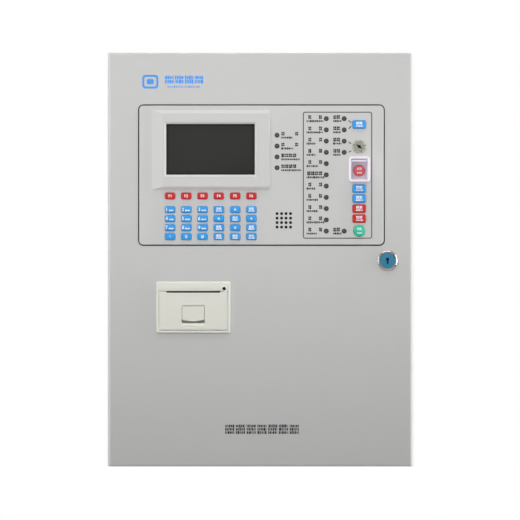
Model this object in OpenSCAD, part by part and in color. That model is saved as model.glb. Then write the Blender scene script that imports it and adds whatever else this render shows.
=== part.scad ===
// Fire alarm control panel: a wall cabinet whose door carries the operator panel and a printer.
// The origin is the middle of the cabinet's rear face, on the wall. X runs to the right, Y into
// the wall and Z up, so every piece lies at a negative Y. All sizes are in millimetres.

/* [Cabinet] */
// Width of the cabinet and of its door
cab_w = 380; // [370:1:460]
// Height of the cabinet and of its door
cab_h = 514; // [428:1:620]
// Depth of the cabinet box, from the wall to its front edge
cab_d = 98.5; // [90:0.5:130]
// Thickness of the steel sheet
sheet = 1.5; // [1.2:0.1:2]
// Radius of the corners seen from the front
corner_r = 1.5; // [0.8:0.1:3]
// Width of the flange turned in round the cabinet's opening
lip_w = 12; // [9:0.5:16]
// Radius of a wall screw hole
wall_hole_r = 4; // [2.5:0.5:5]
// Distance from the cabinet's side to a wall screw hole
wall_hole_side = 25; // [18:1:27]
// Distance from the cabinet's top or bottom to a wall screw hole
wall_hole_end = 27; // [18:1:34]

/* [Cable entries] */
// Number of cable entries in the top
entry_count = 4; // [2:1:5]
// Distance between two cable entries
entry_pitch = 80; // [50:1:84]
// Distance from the wall to the cable entries
entry_depth = 45; // [30:1:52]
// Radius of the way through a grommet
entry_bore_r = 8; // [5:0.5:12]
// Thickness of the rubber between the bore and the sheet
grommet_wall = 3; // [2:0.5:4]
// Width and thickness of a grommet's two flanges
grommet_flange = 2; // [1.5:0.5:3]

/* [Door] */
// Depth of the door
door_d = 20; // [18:0.5:24]
// Gap between the cabinet and the door
door_gap = 1.5; // [1.5:0.1:3]
// Radius of the folds along the door's sides
side_fold_r = 5; // [3:0.5:5]
// Radius of the folds along the door's top and bottom
end_fold_r = 2.5; // [2.1:0.1:4]
// Distance from the door's side to the hinge axis
hinge_inset = 5; // [4.8:0.1:5.5]
// Height of each hinge above or below the middle
hinge_z = 170; // [120:1:175]
// Length of a hinge
hinge_len = 50; // [40:1:70]
// Length of the middle knuckle, which is the door's
door_knuckle_len = 24.4; // [18:0.2:30]
// Radius of a hinge knuckle
knuckle_r = 4; // [3.5:0.1:4.3]
// Radius of a hinge pin
hinge_pin_r = 1.75; // [1.4:0.05:2.2]

/* [Operator panel] */
// Width of the operator panel
fascia_w = 303.4; // [300:0.1:312]
// Height of the operator panel
fascia_h = 172.7; // [172:0.1:180]
// Radius of its corners
fascia_r = 5.2; // [3:0.1:8]
// Distance from the door's top to the panel's top
fascia_top = 65.65; // [56:0.05:80]
// Shift of the panel to the right of the door's middle
fascia_x = 1; // [-2:0.5:3]
// Gap all round the panel, in the door
fascia_gap = 1.6; // [0.8:0.1:2.5]
// Height of the panel in front of the door
fascia_proud = 0.8; // [0.4:0.1:2]
// Thickness of the panel's plate
fascia_t = 2.5; // [2:0.1:3]
// Width of the display window
window_w = 109.9; // [92:0.1:112]
// Height of the display window
window_h = 63; // [53:0.1:65]
// Width of the surround at the window's right, above and below it
surround_w = 18; // [14:0.5:20]
// Width of the sloping surround at the window's left
surround_left_w = 19.6; // [16:0.1:22]
// Height of the surround in front of the panel
surround_proud = 4.5; // [3:0.1:6]
// Thickness of the display glass
glass_t = 1.2; // [0.8:0.1:2]

/* [Keys] */
// Width of a keypad key
key_w = 12.6; // [10.5:0.1:15.2]
// Height of a keypad key
key_h = 8.2; // [7:0.1:8.8]
// Radius of a key's corners
key_r = 2; // [1:0.1:3]
// Space between two keys, across
key_space_x = 7.6; // [5:0.1:8]
// Space between two rows of keys
key_space_z = 3; // [2.8:0.1:3.2]
// Width of a function button
button_w = 16.8; // [14:0.1:20]
// Height of a function button
button_h = 10.3; // [8.6:0.1:10.6]
// Space between two function buttons, one above the other
button_space = 2.1; // [2:0.1:2.6]
// Diameter of the round buttons
round_d = 14.2; // [12:0.1:15]
// Height of a key in front of the panel
key_proud = 2.6; // [2:0.1:3.5]
// Height of a round button in front of the panel
round_proud = 4; // [3:0.1:4.5]
// Travel of a key
key_travel = 1.5; // [1:0.1:2]
// Gap round a key in its hole
key_gap = 0.3; // [0.2:0.05:0.5]
// Width of the rim that holds a key behind the panel
key_rim = 0.8; // [0.6:0.1:0.9]

/* [Reset guard] */
// Width of the guard's frame
guard_w = 25.8; // [25:0.1:27]
// Height of the guard's frame
guard_h = 31.4; // [30.5:0.1:32]
// Width of the frame's sides
guard_rim = 3; // [2.4:0.1:3.2]
// Depth of the frame in front of the panel
guard_d = 10; // [9:0.5:12]
// Thickness of the clear cover
cover_t = 1.4; // [1.2:0.1:1.8]
// Radius of the cover's two pins
cover_pin_r = 0.8; // [0.6:0.05:0.9]

/* [Locks] */
// Radius of the door lock's ring
lock_ring_r = 12.8; // [11:0.1:15]
// Radius of the door lock's coloured face
lock_face_r = 9.3; // [8:0.1:9.8]
// Distance from the door's side to the lock
lock_side = 32.5; // [30:0.5:34]
// Distance from the door's top to the lock
lock_top = 257.9; // [252:0.1:275]
// Length of the cam from the lock's axis to its end
cam_len = 26; // [23:0.5:28]
// Thickness of the cam
cam_t = 2; // [1.5:0.1:3]
// Radius of the key switch's ring
switch_ring_r = 8.55; // [8:0.05:9.5]
// Radius of both locks' turning plugs
plug_r = 6; // [5:0.1:6.4]

/* [Printer] */
// Width of the printer's front frame
printer_w = 91.9; // [88:0.1:110]
// Height of the printer's front frame
printer_h = 63.4; // [62:0.1:68]
// Shift of the printer's middle to the left of the door's middle
printer_left = 83.6; // [80:0.1:100]
// Distance from the door's top to the printer's middle
printer_top = 316.2; // [305:0.1:330]
// Height of the printer's frame in front of the door
printer_proud = 3; // [2:0.1:4]
// Depth of the printer behind the door's front
printer_d = 49; // [45:0.5:52]
// Radius of the platen roller
roller_r = 3.8; // [3.2:0.1:4]
// Width of the paper slot
slot_w = 66.4; // [58:0.1:67]

/* [Inside] */
// Width of a standby battery
battery_w = 151; // [130:1:156]
// Depth of a standby battery
battery_d = 65; // [55:1:66]
// Height of a standby battery's case
battery_h = 94; // [80:1:100]
// Width of the main board
board_w = 236; // [200:1:240]
// Height of the main board
board_h = 196; // [170:1:200]
// Width of the power supply
supply_w = 82; // [70:1:84]
// Height of the power supply
supply_h = 190; // [160:1:196]
// Depth of the power supply
supply_d = 38; // [30:1:40]
// Height of the stand-offs behind the mounting plate
standoff_h = 8.5; // [6:0.5:10]

/* [Hidden] */
$fn = 48;
FINE = 96;
RUN = 0.05; // radial clearance of a shaft in its bearing
SHIFT = 0.2; // free gap between pieces that only guide each other
TINY = 0.01; // overlap that fuses two solids, or clears a cut's end

// Levels from the wall to the front
back_y = -sheet; // inner face of the cabinet's back
cab_y = -cab_d; // front edge of the cabinet
door_y = cab_y - door_gap; // rear edge of the door
front_y = door_y - door_d; // front of the door
door_in_y = front_y + sheet; // inner face of the door's front
hinge_y = door_y - door_d / 2;
hinge_x = -cab_w / 2 + hinge_inset;
knuckle_gap = 0.3; // between two knuckles
leaf_knuckle_len = (hinge_len - door_knuckle_len) / 2 - knuckle_gap;
leaf_out = 0.9; // how far a leaf's web reaches to the left of the axis, and to its right
leaf_in = 0.6;
web_half = 2; // half the thickness of the web of the door's knuckle
pin_end = 0.5; // length of a hinge pin below its lowest knuckle
pin_head_h = 1.4;
pin_head_rim = 1.2; // how far a pin's head is wider than the pin
notch_gap = 0.5; // room round a hinge in the door's side
notch_low = 1.5; // room below and above a hinge
notch_high = 2.5;
lip_y = cab_y + sheet; // rear face of the cabinet's flange
fascia_y = front_y - fascia_proud;
fascia_back_y = fascia_y + fascia_t;

// Operator panel
fascia_z = cab_h / 2 - fascia_top - fascia_h / 2;
fascia_rim = 4; // width of the thick rim round the panel's back
fascia_flange = 8; // how far the panel's flange reaches behind the door
fascia_flange_t = 2;
fascia_ease = 0.7; // chamfer along the panel's front edge
surround_r = 4; // radius of the surround's corners
surround_sink = 0.5; // how far the surround starts behind the panel's front
surround_more_right = 1; // how much wider than surround_w it is at the right, and at the bottom
surround_more_low = 1.6;
window_x = fascia_x - 63.2;
window_z = fascia_z + 31.9;
window_bevel = 2.4; // width and depth of the bevel round the window
window_bevel_d = 2;
slope_end = 5; // width of the surround's slope at its top and bottom
slope_left = 15;
slope_right = 1.2;
glass_edge = 3.5; // how far the glass reaches behind the surround
glass_y = fascia_y - surround_proud + 3;
cell_t = 3.1; // thickness of the display cell behind the glass
can_t = 6; // depth of the display's metal case
can_side = 4; // the display's board to its case, at the sides and at the ends
can_end = 3;
module_board_t = 1.6;
module_w = window_w + 34;
module_h = window_h + 35;
can_back_y = glass_y + glass_t + cell_t + can_t;

// Indicators, as [x, z] from the middle of the operator panel
lens_r = 2.5;
lens_hole_r = 3;
lens_rim = 1.2; // width and thickness of the rim that holds a lens behind the panel
lens_rim_t = 1;
lens_proud = 0.2; // how far a lens lies behind the front round it
lens_pitch = 13.96;
left_lens_pitch = 13.47;
left_lenses = [for (i = [0 : 3]) [19.4, 49.5 - i * left_lens_pitch]];
status_lenses = [for (i = [0 : 10]) [80.5, 70.1 - i * lens_pitch]];
command_lenses = [for (i = [0, 1, 2, 3, 10]) [102.7, 70.1 - i * lens_pitch]];
panel_lenses = concat(left_lenses, status_lenses, command_lenses);
status_box = [51.4, 137.5, -78.9, 78.7]; // left, right, bottom and top of the framed field
status_line = 1.2;
status_r = 3;
status_line_depth = 0.3;
sound_pitch = 5.58;
sound_hole_r = 1.5;
sound_at = [27.75, -56.2];
speaker_r = 17;
speaker_lip = 2;
speaker_cup = 1; // depth of the cone's hollow
speaker_t = 4;
speaker_gap = 0.5; // the panel's plate to the speaker
magnet_r = 9;
magnet_d = 7;

// Keys, as [name, x, z, width, height, corner radius, height in front, colour]
rim_t = 1.2; // thickness of a key's rim
key_ease = 0.5; // step along a key's front edge
stem_r = 2.2;
stem_len = 1;
pad_x = -63;
f_row_z = -25.9;
pad_row_z = -42.8;
key_pitch_x = key_w + key_space_x;
key_pitch_z = key_h + key_space_z;
PAD = [
  ["key_1", "key_2", "key_3", "key_list", "key_up", "key_find"],
  ["key_4", "key_5", "key_6", "key_left", "key_select", "key_right"],
  ["key_7", "key_8", "key_9", "key_setup", "key_down", "key_clear"],
  ["key_star", "key_0", "key_hash", "key_shift", "key_cancel", "key_confirm"]
];
RED = [0.86, 0.12, 0.17];
BLUE = [0.2, 0.58, 0.86];
GREEN = [0.28, 0.8, 0.7];
column_x = 121.3; // the panel's middle to the column of buttons
button_pitch = button_h + button_space;
button_r = 2.4;
lamp_test_z = 62.8; // heights of the buttons above the panel's middle
reset_z = 5.5;
mute_z = -16.8;
start_z = -69.2;
F_KEYS = [
  for (i = [0 : 5])
    [str("key_f", i + 1), pad_x + (i - 2.5) * key_pitch_x, f_row_z, key_w, key_h, key_r, key_proud, RED]
];
PAD_KEYS = [
  for (row = [0 : 3], col = [0 : 5])
    [PAD[row][col], pad_x + (col - 2.5) * key_pitch_x, pad_row_z - row * key_pitch_z,
     key_w, key_h, key_r, key_proud, BLUE]
];
BUTTONS = [
  for (b = [["button_lamp_test", lamp_test_z, BLUE],
            ["button_mute", mute_z, BLUE],
            ["button_silence", mute_z - button_pitch, BLUE],
            ["button_isolate", mute_z - 2 * button_pitch, RED],
            ["button_stop", mute_z - 3 * button_pitch, RED]])
    [b[0], column_x, b[1], button_w, button_h, button_r, key_proud, b[2]]
];
ROUND_BUTTONS = [
  for (b = [["button_reset", reset_z, RED], ["button_start", start_z, GREEN]])
    [b[0], column_x, b[1], round_d, round_d, round_d / 2, round_proud, b[2]]
];
KEYS = concat(F_KEYS, PAD_KEYS, BUTTONS, ROUND_BUTTONS);

// Control board behind the keys
key_end_y = fascia_back_y + SHIFT + rim_t + stem_len; // rear end of a key at rest
switch_h = 3.5;
panel_board_y = key_end_y + key_travel + SHIFT + switch_h;
panel_board_t = 1.6;
panel_board_side = 8; // the panel's side to its board, then its bottom and its top
panel_board_low = 5;
panel_board_high = 6;
module_room = 20; // how far the cut for the display runs out to the left and above it
module_gap = 1; // the cut's gap at the right and below the display
key_switch_room = 3.5;
dome_half = 3; // half the width of a switch under a key
dome_step = 1; // height of its plunger
dome_plunger_r = 1.7;
// Connectors and chips behind the board, as [left, bottom, width, height, depth] from the panel's middle
PANEL_PARTS = concat(
  [for (i = [0 : 4]) [-130 + i * 30, -70, 22, 8, 5]],
  [for (i = [0 : 2]) [56 + i * 24, -40, 14, 14, 2]]
);

// Key switch and reset guard
switch_z = fascia_z + 35.3;
switch_x = fascia_x + column_x;
switch_proud = 3;
switch_body_r = plug_r + 1.5;
switch_back_y = panel_board_y + panel_board_t + 8;
switch_end = 3; // closed end of the key switch's body
switch_plug_proud = 0.6; // how far its plug stands in front of its ring
switch_slit = [1.6, 3.9, 7]; // width, half length and depth of its slot
switch_nut_rim = 2.4;
switch_nut_t = 3;
switch_bore_gap = 0.1; // room round the body in the panel
switch_angle = -35; // the slot's slant at rest
guard_x = fascia_x + column_x - 0.2;
guard_r = 3.4; // radius of the frame's outer corners, and of its inner ones
guard_in_r = 1.2;
guard_z = fascia_z + 7.1;
cover_axis_y = fascia_y - guard_d + cover_t;
cover_knuckle_r = 1.2;
cover_top_gap = 1.2; // the frame to the cover's knuckle
cover_gap = 0.3; // the frame to the cover's side, and half of its gap below
cover_axis_z = guard_z + guard_h / 2 - guard_rim - cover_knuckle_r - cover_top_gap;
cover_w = guard_w - 2 * guard_rim - 2 * cover_gap;
cover_bottom_z = guard_z - guard_h / 2 + guard_rim + 2 * cover_gap;
cover_pin_len = 1.5;
pin_room = 0.3; // room at the end of a short pin

// Door lock
lock_x = cab_w / 2 - lock_side;
lock_z = cab_h / 2 - lock_top;
lock_head = 4;
lock_body_r = plug_r + 3;
lock_face_t = 1.5;
cam_gap = 1; // between the cam and the cabinet's flange
cam_front_y = lip_y + cam_gap;
cam_end_y = cam_front_y + cam_t;
cam_w = 12;
cam_hub_rim = 1; // how far the cam's round end is wider than its arm
cam_nut_r = 5;
cam_nut_t = 3;
lock_nut_rim = 4;
lock_nut_t = 4;
keyhole_r = 1.65;
keyhole_up = 1.5; // the lock's axis to the keyhole's middle
keyhole_d = 8;
keyhole_slit_w = 1.7;
keyhole_low = 4.2; // the lock's axis to the slit's lower end

// Printer
printer_x = -printer_left;
printer_z = cab_h / 2 - printer_top;
printer_y = front_y - printer_proud;
tub_side = 1.6; // width of the frame outside the tub
tub_t = 1.5;
tub_gap = 0.5; // room round the tub in the door
tub_w = printer_w - 2 * tub_side;
tub_h = printer_h - 2 * tub_side;
tub_back_y = front_y + printer_d;
printer_r = 2; // radius of the frame's corners
head_h = 11.5; // height of the frame's fixed top part
head_z = printer_z + printer_h / 2 - head_h;
hatch_gap = 0.8;
mouth_w = tub_w - 2 * tub_t;
mouth_bottom_z = printer_z - tub_h / 2 + tub_t;
hatch_w = mouth_w - 2 * hatch_gap;
slot_gap = 1; // the frame's top part to the hatch
hatch_top_z = head_z - slot_gap;
hatch_bottom_z = mouth_bottom_z + hatch_gap;
hatch_t = 3;
hatch_axis_y = printer_y + 1.4;
hatch_axis_z = hatch_bottom_z + 1.2;
hatch_pin_r = 0.9;
hatch_pin_len = 2.2;
hatch_pin_room = 0.4;
slot_lip = 1; // how far the hatch's edge is cut back for the paper
cheek_t = 2;
cheek_low = 9; // the roller's axis to a cheek's lower end, and to its upper end
cheek_high = 3;
cheek_x = slot_w / 2 + 5.5; // the middle of the hatch to a cheek
roller_y = hatch_axis_y + 8;
roller_z = hatch_top_z - roller_r - 0.7;
roller_pin_r = 1.5;
roller_gap = 0.5; // the roller's end to a cheek
roller_pin_end = 0.8; // how far its shaft runs past a cheek's middle
latch_x = printer_x;
latch_w = 28.5;
latch_top_z = hatch_top_z - 16.8;
latch_recess_h = 22.2;
latch_recess_d = 8;
latch_bevel_h = 2.6; // slope below the recess for a fingertip
latch_bevel_d = 1.3;
latch_wall = 1.5;
housing_y = printer_y + 1; // front of the pieces moulded behind the hatch
latch_t = 2.2;
latch_gap = 0.5;
latch_axis_y = printer_y + 1.5;
latch_axis_z = latch_top_z - latch_gap - latch_t / 2;
latch_len = 18.1; // from the latch's axis to its lowest point
latch_arc_r = 45;
latch_pin_r = 0.8;
latch_pin_len = 1.2;
indicator_dx = 38.3; // the middle of the printer to its indicator
indicator_z = printer_z + printer_h / 2 - 8.4;
indicator_r = 2;
indicator_hole_r = 2.2;
indicator_seat_r = 2.5;
indicator_seat_d = 0.8;

// Inside
plate_t = 1.5;
plate_y = back_y - standoff_h; // rear face of the mounting plate
plate_front_y = plate_y - plate_t;
battery_gap = 10;
battery_y = back_y - 1;
shelf_t = 2;
shelf_side = 2; // the battery's side to the shelf's end
upstand_gap = 1; // the batteries to the upstand
upstand_t = 2;
upstand_h = 18;
post_side = 10; // the battery's side to the middle of a terminal post
post_w = 8;
post_d = 12;
shelf_z = -cab_h / 2 + sheet;
battery_z = shelf_z + shelf_t;
terminal_h = 6;
plate_w = cab_w - 2 * sheet - 37;
plate_bottom_z = battery_z + battery_h + terminal_h + 12;
plate_top_z = cab_h / 2 - 40;
plate_h = plate_top_z - plate_bottom_z;
plate_z = (plate_top_z + plate_bottom_z) / 2;
board_spacer = 8;
board_t = 1.6;
board_y = plate_front_y - board_spacer; // rear face of the main board
board_front_y = board_y - board_t;
board_x = -plate_w / 2 + 6 + board_w / 2;
board_z = plate_top_z - 8 - board_h / 2;
supply_foot = 9; // length of the power supply's feet, above and below it
supply_foot_t = 2;
supply_edge = 14; // the plate's edge to the power supply
supply_x = plate_w / 2 - supply_edge - supply_w / 2;
supply_z = board_z + (board_h - supply_h) / 2 - 5;
standoff_r = 5;
spacer_r = 3; // radius of the spacers behind the main board
plate_edge_h = 6; // height of the plate's turned-out edges
screw_r = 2;
screw_hole_r = 2.2;
screw_head_r = 3.8;
screw_head_h = 2.4;
screw_len = 6;
plate_screw_side = 3; // the plate's edge to a screw's head, at the sides and at the ends
plate_screw_end = 2;
board_screw_inset = 8;
plate_screws = [
  for (sx = [-1, 1], sz = [-1, 0, 1])
    [sx * (plate_w / 2 - plate_screw_side - screw_head_r),
     plate_z + sz * (plate_h / 2 - plate_screw_end - screw_head_r)]
];
supply_screws = [for (s = [-1, 1]) [supply_x, supply_z + s * (supply_h + supply_foot) / 2]];
board_screws = [
  for (sx = [-1, 1], sz = [-1, 1])
    [board_x + sx * (board_w / 2 - board_screw_inset), board_z + sz * (board_h / 2 - board_screw_inset)]
];
terminal_row_side = 18; // the main board's side to a row of terminals
terminal_row_end = 10; // its top or bottom to the row's middle
terminal_count = 8;
terminal_half = 7; // half the height of a terminal
terminal_d = 14;
terminal_space = 1.5;
terminal_hole_r = 2;
terminal_hole_d = 4;
// Relays, transformer, processor and socket, as [left, bottom, width, height, depth] from the
// main board's left edge and middle
BOARD_PARTS = concat(
  [for (i = [0 : 3]) [22 + i * 24, 40, 18, 24, 16]],
  [[board_w - 62, -52, 38, 32, 22], [board_w / 2 - 22, -12, 26, 26, 2.5], [24, -14, 42, 10, 9]]
);
capacitor_r = 6;
capacitor_h = 20;
capacitors = [for (i = [0 : 2]) [34 + i * 18, -50]]; // from the same place
bay_wall = 2; // wall beside the supply's open terminal bay
bay_h = 18;
bay_floor = 14; // the plate to the bay's floor
vent_count = 9;
vent_side = 12; // the supply's side to a cooling slot
vent_low = 32; // its lower end to the first slot
vent_high = 18;
vent_h = 5;
vent_d = 1.2;
supply_terminal_count = 5;
supply_terminal_side = 6;
supply_terminal_space = 2;
supply_terminal_z = 3;
supply_terminal_h = 12;
supply_terminal_d = 12;

// ---- Shapes that repeat ----

// Box between two opposite corners
module block(a, b) translate(a) cube(b - a);

// Rectangle with round corners, or a disc where the radius is half its width
module rounded(w, h, r) {
  if (2 * r >= w - TINY) circle(r = w / 2);
  else {
    square([w - 2 * r, h], center = true);
    square([w, h - 2 * r], center = true);
    for (sx = [-1, 1], sz = [-1, 1]) translate([sx * (w / 2 - r), sz * (h / 2 - r)]) circle(r = r);
  }
}

// Stands an outline in the front plane, from depth y0 back to depth y1
module stand(y0, y1, x = 0, z = 0)
  translate([x, y1, z]) rotate([90, 0, 0]) linear_extrude(y1 - y0) children();

// Plate with round corners, from depth y0 back to depth y1
module plate(w, h, r, y0, y1, x = 0, z = 0) stand(y0, y1, x, z) rounded(w, h, r);

// The same plate with its straight front edges eased by a chamfer
module eased_plate(w, h, r, ease, y0, y1, x = 0, z = 0) {
  half = [w, h] / 2 - [ease, ease];
  rear = half + [1, 1] * (y1 - y0);
  intersection() {
    plate(w, h, r, y0, y1, x, z);
    stump([x - rear[0], x + rear[0], z - rear[1], z + rear[1]], y1,
          [x - half[0], x + half[0], z - half[1], z + half[1]], y0);
  }
}

// Shaft or bore along Y
module shaft_y(r, y0, y1, x = 0, z = 0)
  translate([x, y1, z]) rotate([90, 0, 0]) cylinder(r = r, h = y1 - y0);

// Shaft or bore along X
module shaft_x(r, x0, x1, y, z)
  translate([x0, y, z]) rotate([0, 90, 0]) cylinder(r = r, h = x1 - x0);

// Pyramid stump with flat faces: rectangle a = [left, right, bottom, top] at depth ya, b at depth yb
module stump(a, ya, b, yb) {
  far = 1000;
  intersection() {
    translate([0, 0, -far]) linear_extrude(2 * far)
      polygon([[a[0], ya], [a[1], ya], [b[1], yb], [b[0], yb]]);
    translate([far, 0, 0]) rotate([0, -90, 0]) linear_extrude(2 * far)
      polygon([[a[2], ya], [a[3], ya], [b[3], yb], [b[2], yb]]);
  }
}

// Pan-head screw that enters along +Y, with its head's seat at depth y
module screw(x, y, z) {
  shaft_y(screw_r, y - TINY, y + screw_len, x, z);
  shaft_y(screw_head_r, y - screw_head_h, y, x, z);
}

// Hexagonal nut's outline with a hole
module nut(r, hole_r) difference() {
  circle(r = r, $fn = 6);
  circle(r = hole_r);
}

// ---- Cabinet ----

// One of a hinge's two knuckles on the cabinet, with its web to the flange
module hinge_leaf(z, upper) {
  z0 = upper ? z + hinge_len / 2 - leaf_knuckle_len : z - hinge_len / 2;
  difference() {
    union() {
      translate([hinge_x, hinge_y, z0]) cylinder(r = knuckle_r, h = leaf_knuckle_len);
      block([hinge_x - leaf_out, hinge_y, z0], [hinge_x + leaf_in, lip_y, z0 + leaf_knuckle_len]);
    }
    translate([hinge_x, hinge_y, z0 - 1]) cylinder(r = hinge_pin_r, h = leaf_knuckle_len + 2);
  }
}

module cabinet() color([0.8, 0.8, 0.79]) {
  difference() {
    plate(cab_w, cab_h, corner_r, cab_y, 0);
    block([-cab_w / 2 + sheet, lip_y, -cab_h / 2 + sheet], [cab_w / 2 - sheet, back_y, cab_h / 2 - sheet]);
    block([-cab_w / 2 + sheet + lip_w, cab_y - 1, -cab_h / 2 + sheet + lip_w],
          [cab_w / 2 - sheet - lip_w, lip_y + TINY, cab_h / 2 - sheet - lip_w]);
    for (sx = [-1, 1], sz = [-1, 1])
      shaft_y(wall_hole_r, back_y - 1, 1, sx * (cab_w / 2 - wall_hole_side), sz * (cab_h / 2 - wall_hole_end));
    for (x = entry_places())
      translate([x, -entry_depth, cab_h / 2 - sheet - 1])
        cylinder(r = entry_bore_r + grommet_wall, h = sheet + 2);
  }
  for (sz = [-1, 1], upper = [false, true]) hinge_leaf(sz * hinge_z, upper);
}

function entry_places() = [for (i = [0 : entry_count - 1]) (i - (entry_count - 1) / 2) * entry_pitch];

module cable_grommets() color([0.12, 0.12, 0.12])
  for (x = entry_places()) translate([x, -entry_depth, cab_h / 2 - sheet]) difference() {
    union() {
      cylinder(r = entry_bore_r + grommet_wall, h = sheet);
      for (z = [-grommet_flange, sheet])
        translate([0, 0, z]) cylinder(r = entry_bore_r + grommet_wall + grommet_flange, h = grommet_flange);
    }
    translate([0, 0, -grommet_flange - 1]) cylinder(r = entry_bore_r, h = sheet + 2 * grommet_flange + 2);
  }

module hinge_pins() color([0.75, 0.75, 0.75])
  for (sz = [-1, 1]) translate([hinge_x, hinge_y, sz * hinge_z]) {
    translate([0, 0, -hinge_len / 2 - pin_end]) cylinder(r = hinge_pin_r, h = hinge_len + pin_end + TINY);
    translate([0, 0, hinge_len / 2]) cylinder(r = hinge_pin_r + pin_head_rim, h = pin_head_h);
  }

// ---- Inside the cabinet ----

module mounting_plate() color([0.72, 0.74, 0.74]) {
  difference() {
    union() {
      block([-plate_w / 2, plate_front_y, plate_bottom_z], [plate_w / 2, plate_y, plate_top_z]);
      for (p = plate_screws) shaft_y(standoff_r, plate_y - TINY, back_y, p[0], p[1]);
      for (p = board_screws) shaft_y(spacer_r, board_y, plate_front_y + TINY, p[0], p[1]);
      // turned-out edges that stiffen the plate
      for (z = [plate_bottom_z, plate_top_z - plate_t])
        block([-plate_w / 2, plate_front_y - plate_edge_h, z], [plate_w / 2, plate_y, z + plate_t]);
    }
    for (p = plate_screws) shaft_y(screw_hole_r, plate_front_y - 1, plate_front_y + screw_len + 1, p[0], p[1]);
    for (p = board_screws) shaft_y(screw_hole_r, board_y - 1, board_y + screw_len + 1, p[0], p[1]);
    for (p = supply_screws) shaft_y(screw_hole_r, plate_front_y - 1, plate_y + 1, p[0], p[1]);
  }
  battery_shelf();
}

// Tray under the batteries, with an upstand that keeps them back
module battery_shelf() {
  half = battery_w + battery_gap / 2 + shelf_side;
  y = battery_y - battery_d - upstand_gap;
  block([-half, y - upstand_t, shelf_z], [half, back_y, shelf_z + shelf_t]);
  block([-half, y - upstand_t, shelf_z], [half, y, shelf_z + upstand_h]);
}

// Row of screw terminals on the main board, from x0 to x1
module terminal_row(x0, x1, z) {
  pitch = (x1 - x0) / terminal_count;
  w = pitch - terminal_space;
  y = board_front_y - terminal_d;
  for (i = [0 : terminal_count - 1]) difference() {
    x = x0 + i * pitch;
    block([x, y, z - terminal_half], [x + w, board_front_y + TINY, z + terminal_half]);
    shaft_y(terminal_hole_r, y - 1, y + terminal_hole_d, x + w / 2, z);
  }
}

// Box-shaped parts on a board's face at depth y, with their free side at depth y + way * depth
module board_parts(parts, x, z, y, way) {
  for (p = parts) {
    near = y - way * TINY;
    far = y + way * p[4];
    block([x + p[0], min(near, far), z + p[1]], [x + p[0] + p[2], max(near, far), z + p[1] + p[3]]);
  }
}

module main_board() color([0.1, 0.36, 0.2]) {
  left = board_x - board_w / 2;
  right = board_x + board_w / 2;
  difference() {
    block([left, board_front_y, board_z - board_h / 2], [right, board_y, board_z + board_h / 2]);
    for (p = board_screws) shaft_y(screw_hole_r, board_front_y - 1, board_y + 1, p[0], p[1]);
  }
  for (sz = [-1, 1])
    terminal_row(left + terminal_row_side, right - terminal_row_side,
                 board_z + sz * (board_h / 2 - terminal_row_end));
  board_parts(BOARD_PARTS, left, board_z, board_front_y, -1);
  for (p = capacitors)
    shaft_y(capacitor_r, board_front_y - capacitor_h, board_front_y + TINY, left + p[0], board_z + p[1]);
}

module power_supply() color([0.7, 0.71, 0.72]) {
  x0 = supply_x - supply_w / 2;
  x1 = x0 + supply_w;
  z0 = supply_z - supply_h / 2;
  cover_y = plate_front_y - supply_d;
  bay_y = plate_front_y - bay_floor;
  vent_pitch = (supply_h - vent_low - vent_high) / vent_count;
  difference() {
    block([x0, cover_y, z0], [x1, plate_front_y, z0 + supply_h]);
    // open terminal bay at the lower end
    block([x0 + bay_wall, cover_y - 1, z0 - 1], [x1 - bay_wall, bay_y, z0 + bay_h]);
    // cooling slots in the cover
    for (i = [0 : vent_count - 1]) {
      z = z0 + vent_low + i * vent_pitch;
      block([x0 + vent_side, cover_y - 1, z], [x1 - vent_side, cover_y + vent_d, z + vent_h]);
    }
  }
  difference() {
    block([x0, plate_front_y - supply_foot_t, z0 - supply_foot],
          [x1, plate_front_y, z0 + supply_h + supply_foot]);
    for (p = supply_screws)
      shaft_y(screw_hole_r, plate_front_y - supply_foot_t - 1, plate_front_y + 1, p[0], p[1]);
  }
  pitch = (supply_w - 2 * supply_terminal_side) / supply_terminal_count;
  low = z0 + supply_terminal_z;
  for (i = [0 : supply_terminal_count - 1]) {
    x = x0 + supply_terminal_side + i * pitch;
    block([x, bay_y - supply_terminal_d, low],
          [x + pitch - supply_terminal_space, bay_y + TINY, low + supply_terminal_h]);
  }
}

module batteries() color([0.16, 0.17, 0.19])
  for (s = [-1, 1]) {
    x = s * (battery_w + battery_gap) / 2;
    top = battery_z + battery_h;
    y = battery_y - battery_d / 2;
    block([x - battery_w / 2, battery_y - battery_d, battery_z], [x + battery_w / 2, battery_y, top]);
    for (t = [-1, 1]) {
      post_x = x + t * (battery_w / 2 - post_side);
      block([post_x - post_w / 2, y - post_d / 2, top - TINY],
            [post_x + post_w / 2, y + post_d / 2, top + terminal_h]);
    }
  }

module screws() color([0.78, 0.78, 0.76]) {
  for (p = plate_screws) screw(p[0], plate_front_y, p[1]);
  for (p = board_screws) screw(p[0], board_front_y, p[1]);
  for (p = supply_screws) screw(p[0], plate_front_y - supply_foot_t, p[1]);
}

// ---- Door ----

// Profile of a folded tray in plan: width w, from depth y0 back to y1, with round front folds
module fold(w, y0, y1, r) {
  translate([-w / 2, y0 + r]) square([w, y1 - y0 - r]);
  translate([-w / 2 + r, y0]) square([w - 2 * r, y1 - y0]);
  for (s = [-1, 1]) translate([s * (w / 2 - r), y0 + r]) circle(r = r);
}

// Solid of the door's outside, or of its inside when every face moves in by cut
module door_form(cut = 0) {
  over = cut > 0 ? 1 : 0;
  intersection() {
    translate([0, 0, -cab_h]) linear_extrude(2 * cab_h)
      fold(cab_w - 2 * cut, front_y + cut, door_y + over, side_fold_r - cut);
    translate([cab_w, 0, 0]) rotate([0, -90, 0]) linear_extrude(2 * cab_w)
      fold(cab_h - 2 * cut, front_y + cut, door_y + over, end_fold_r - cut);
  }
}

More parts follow.
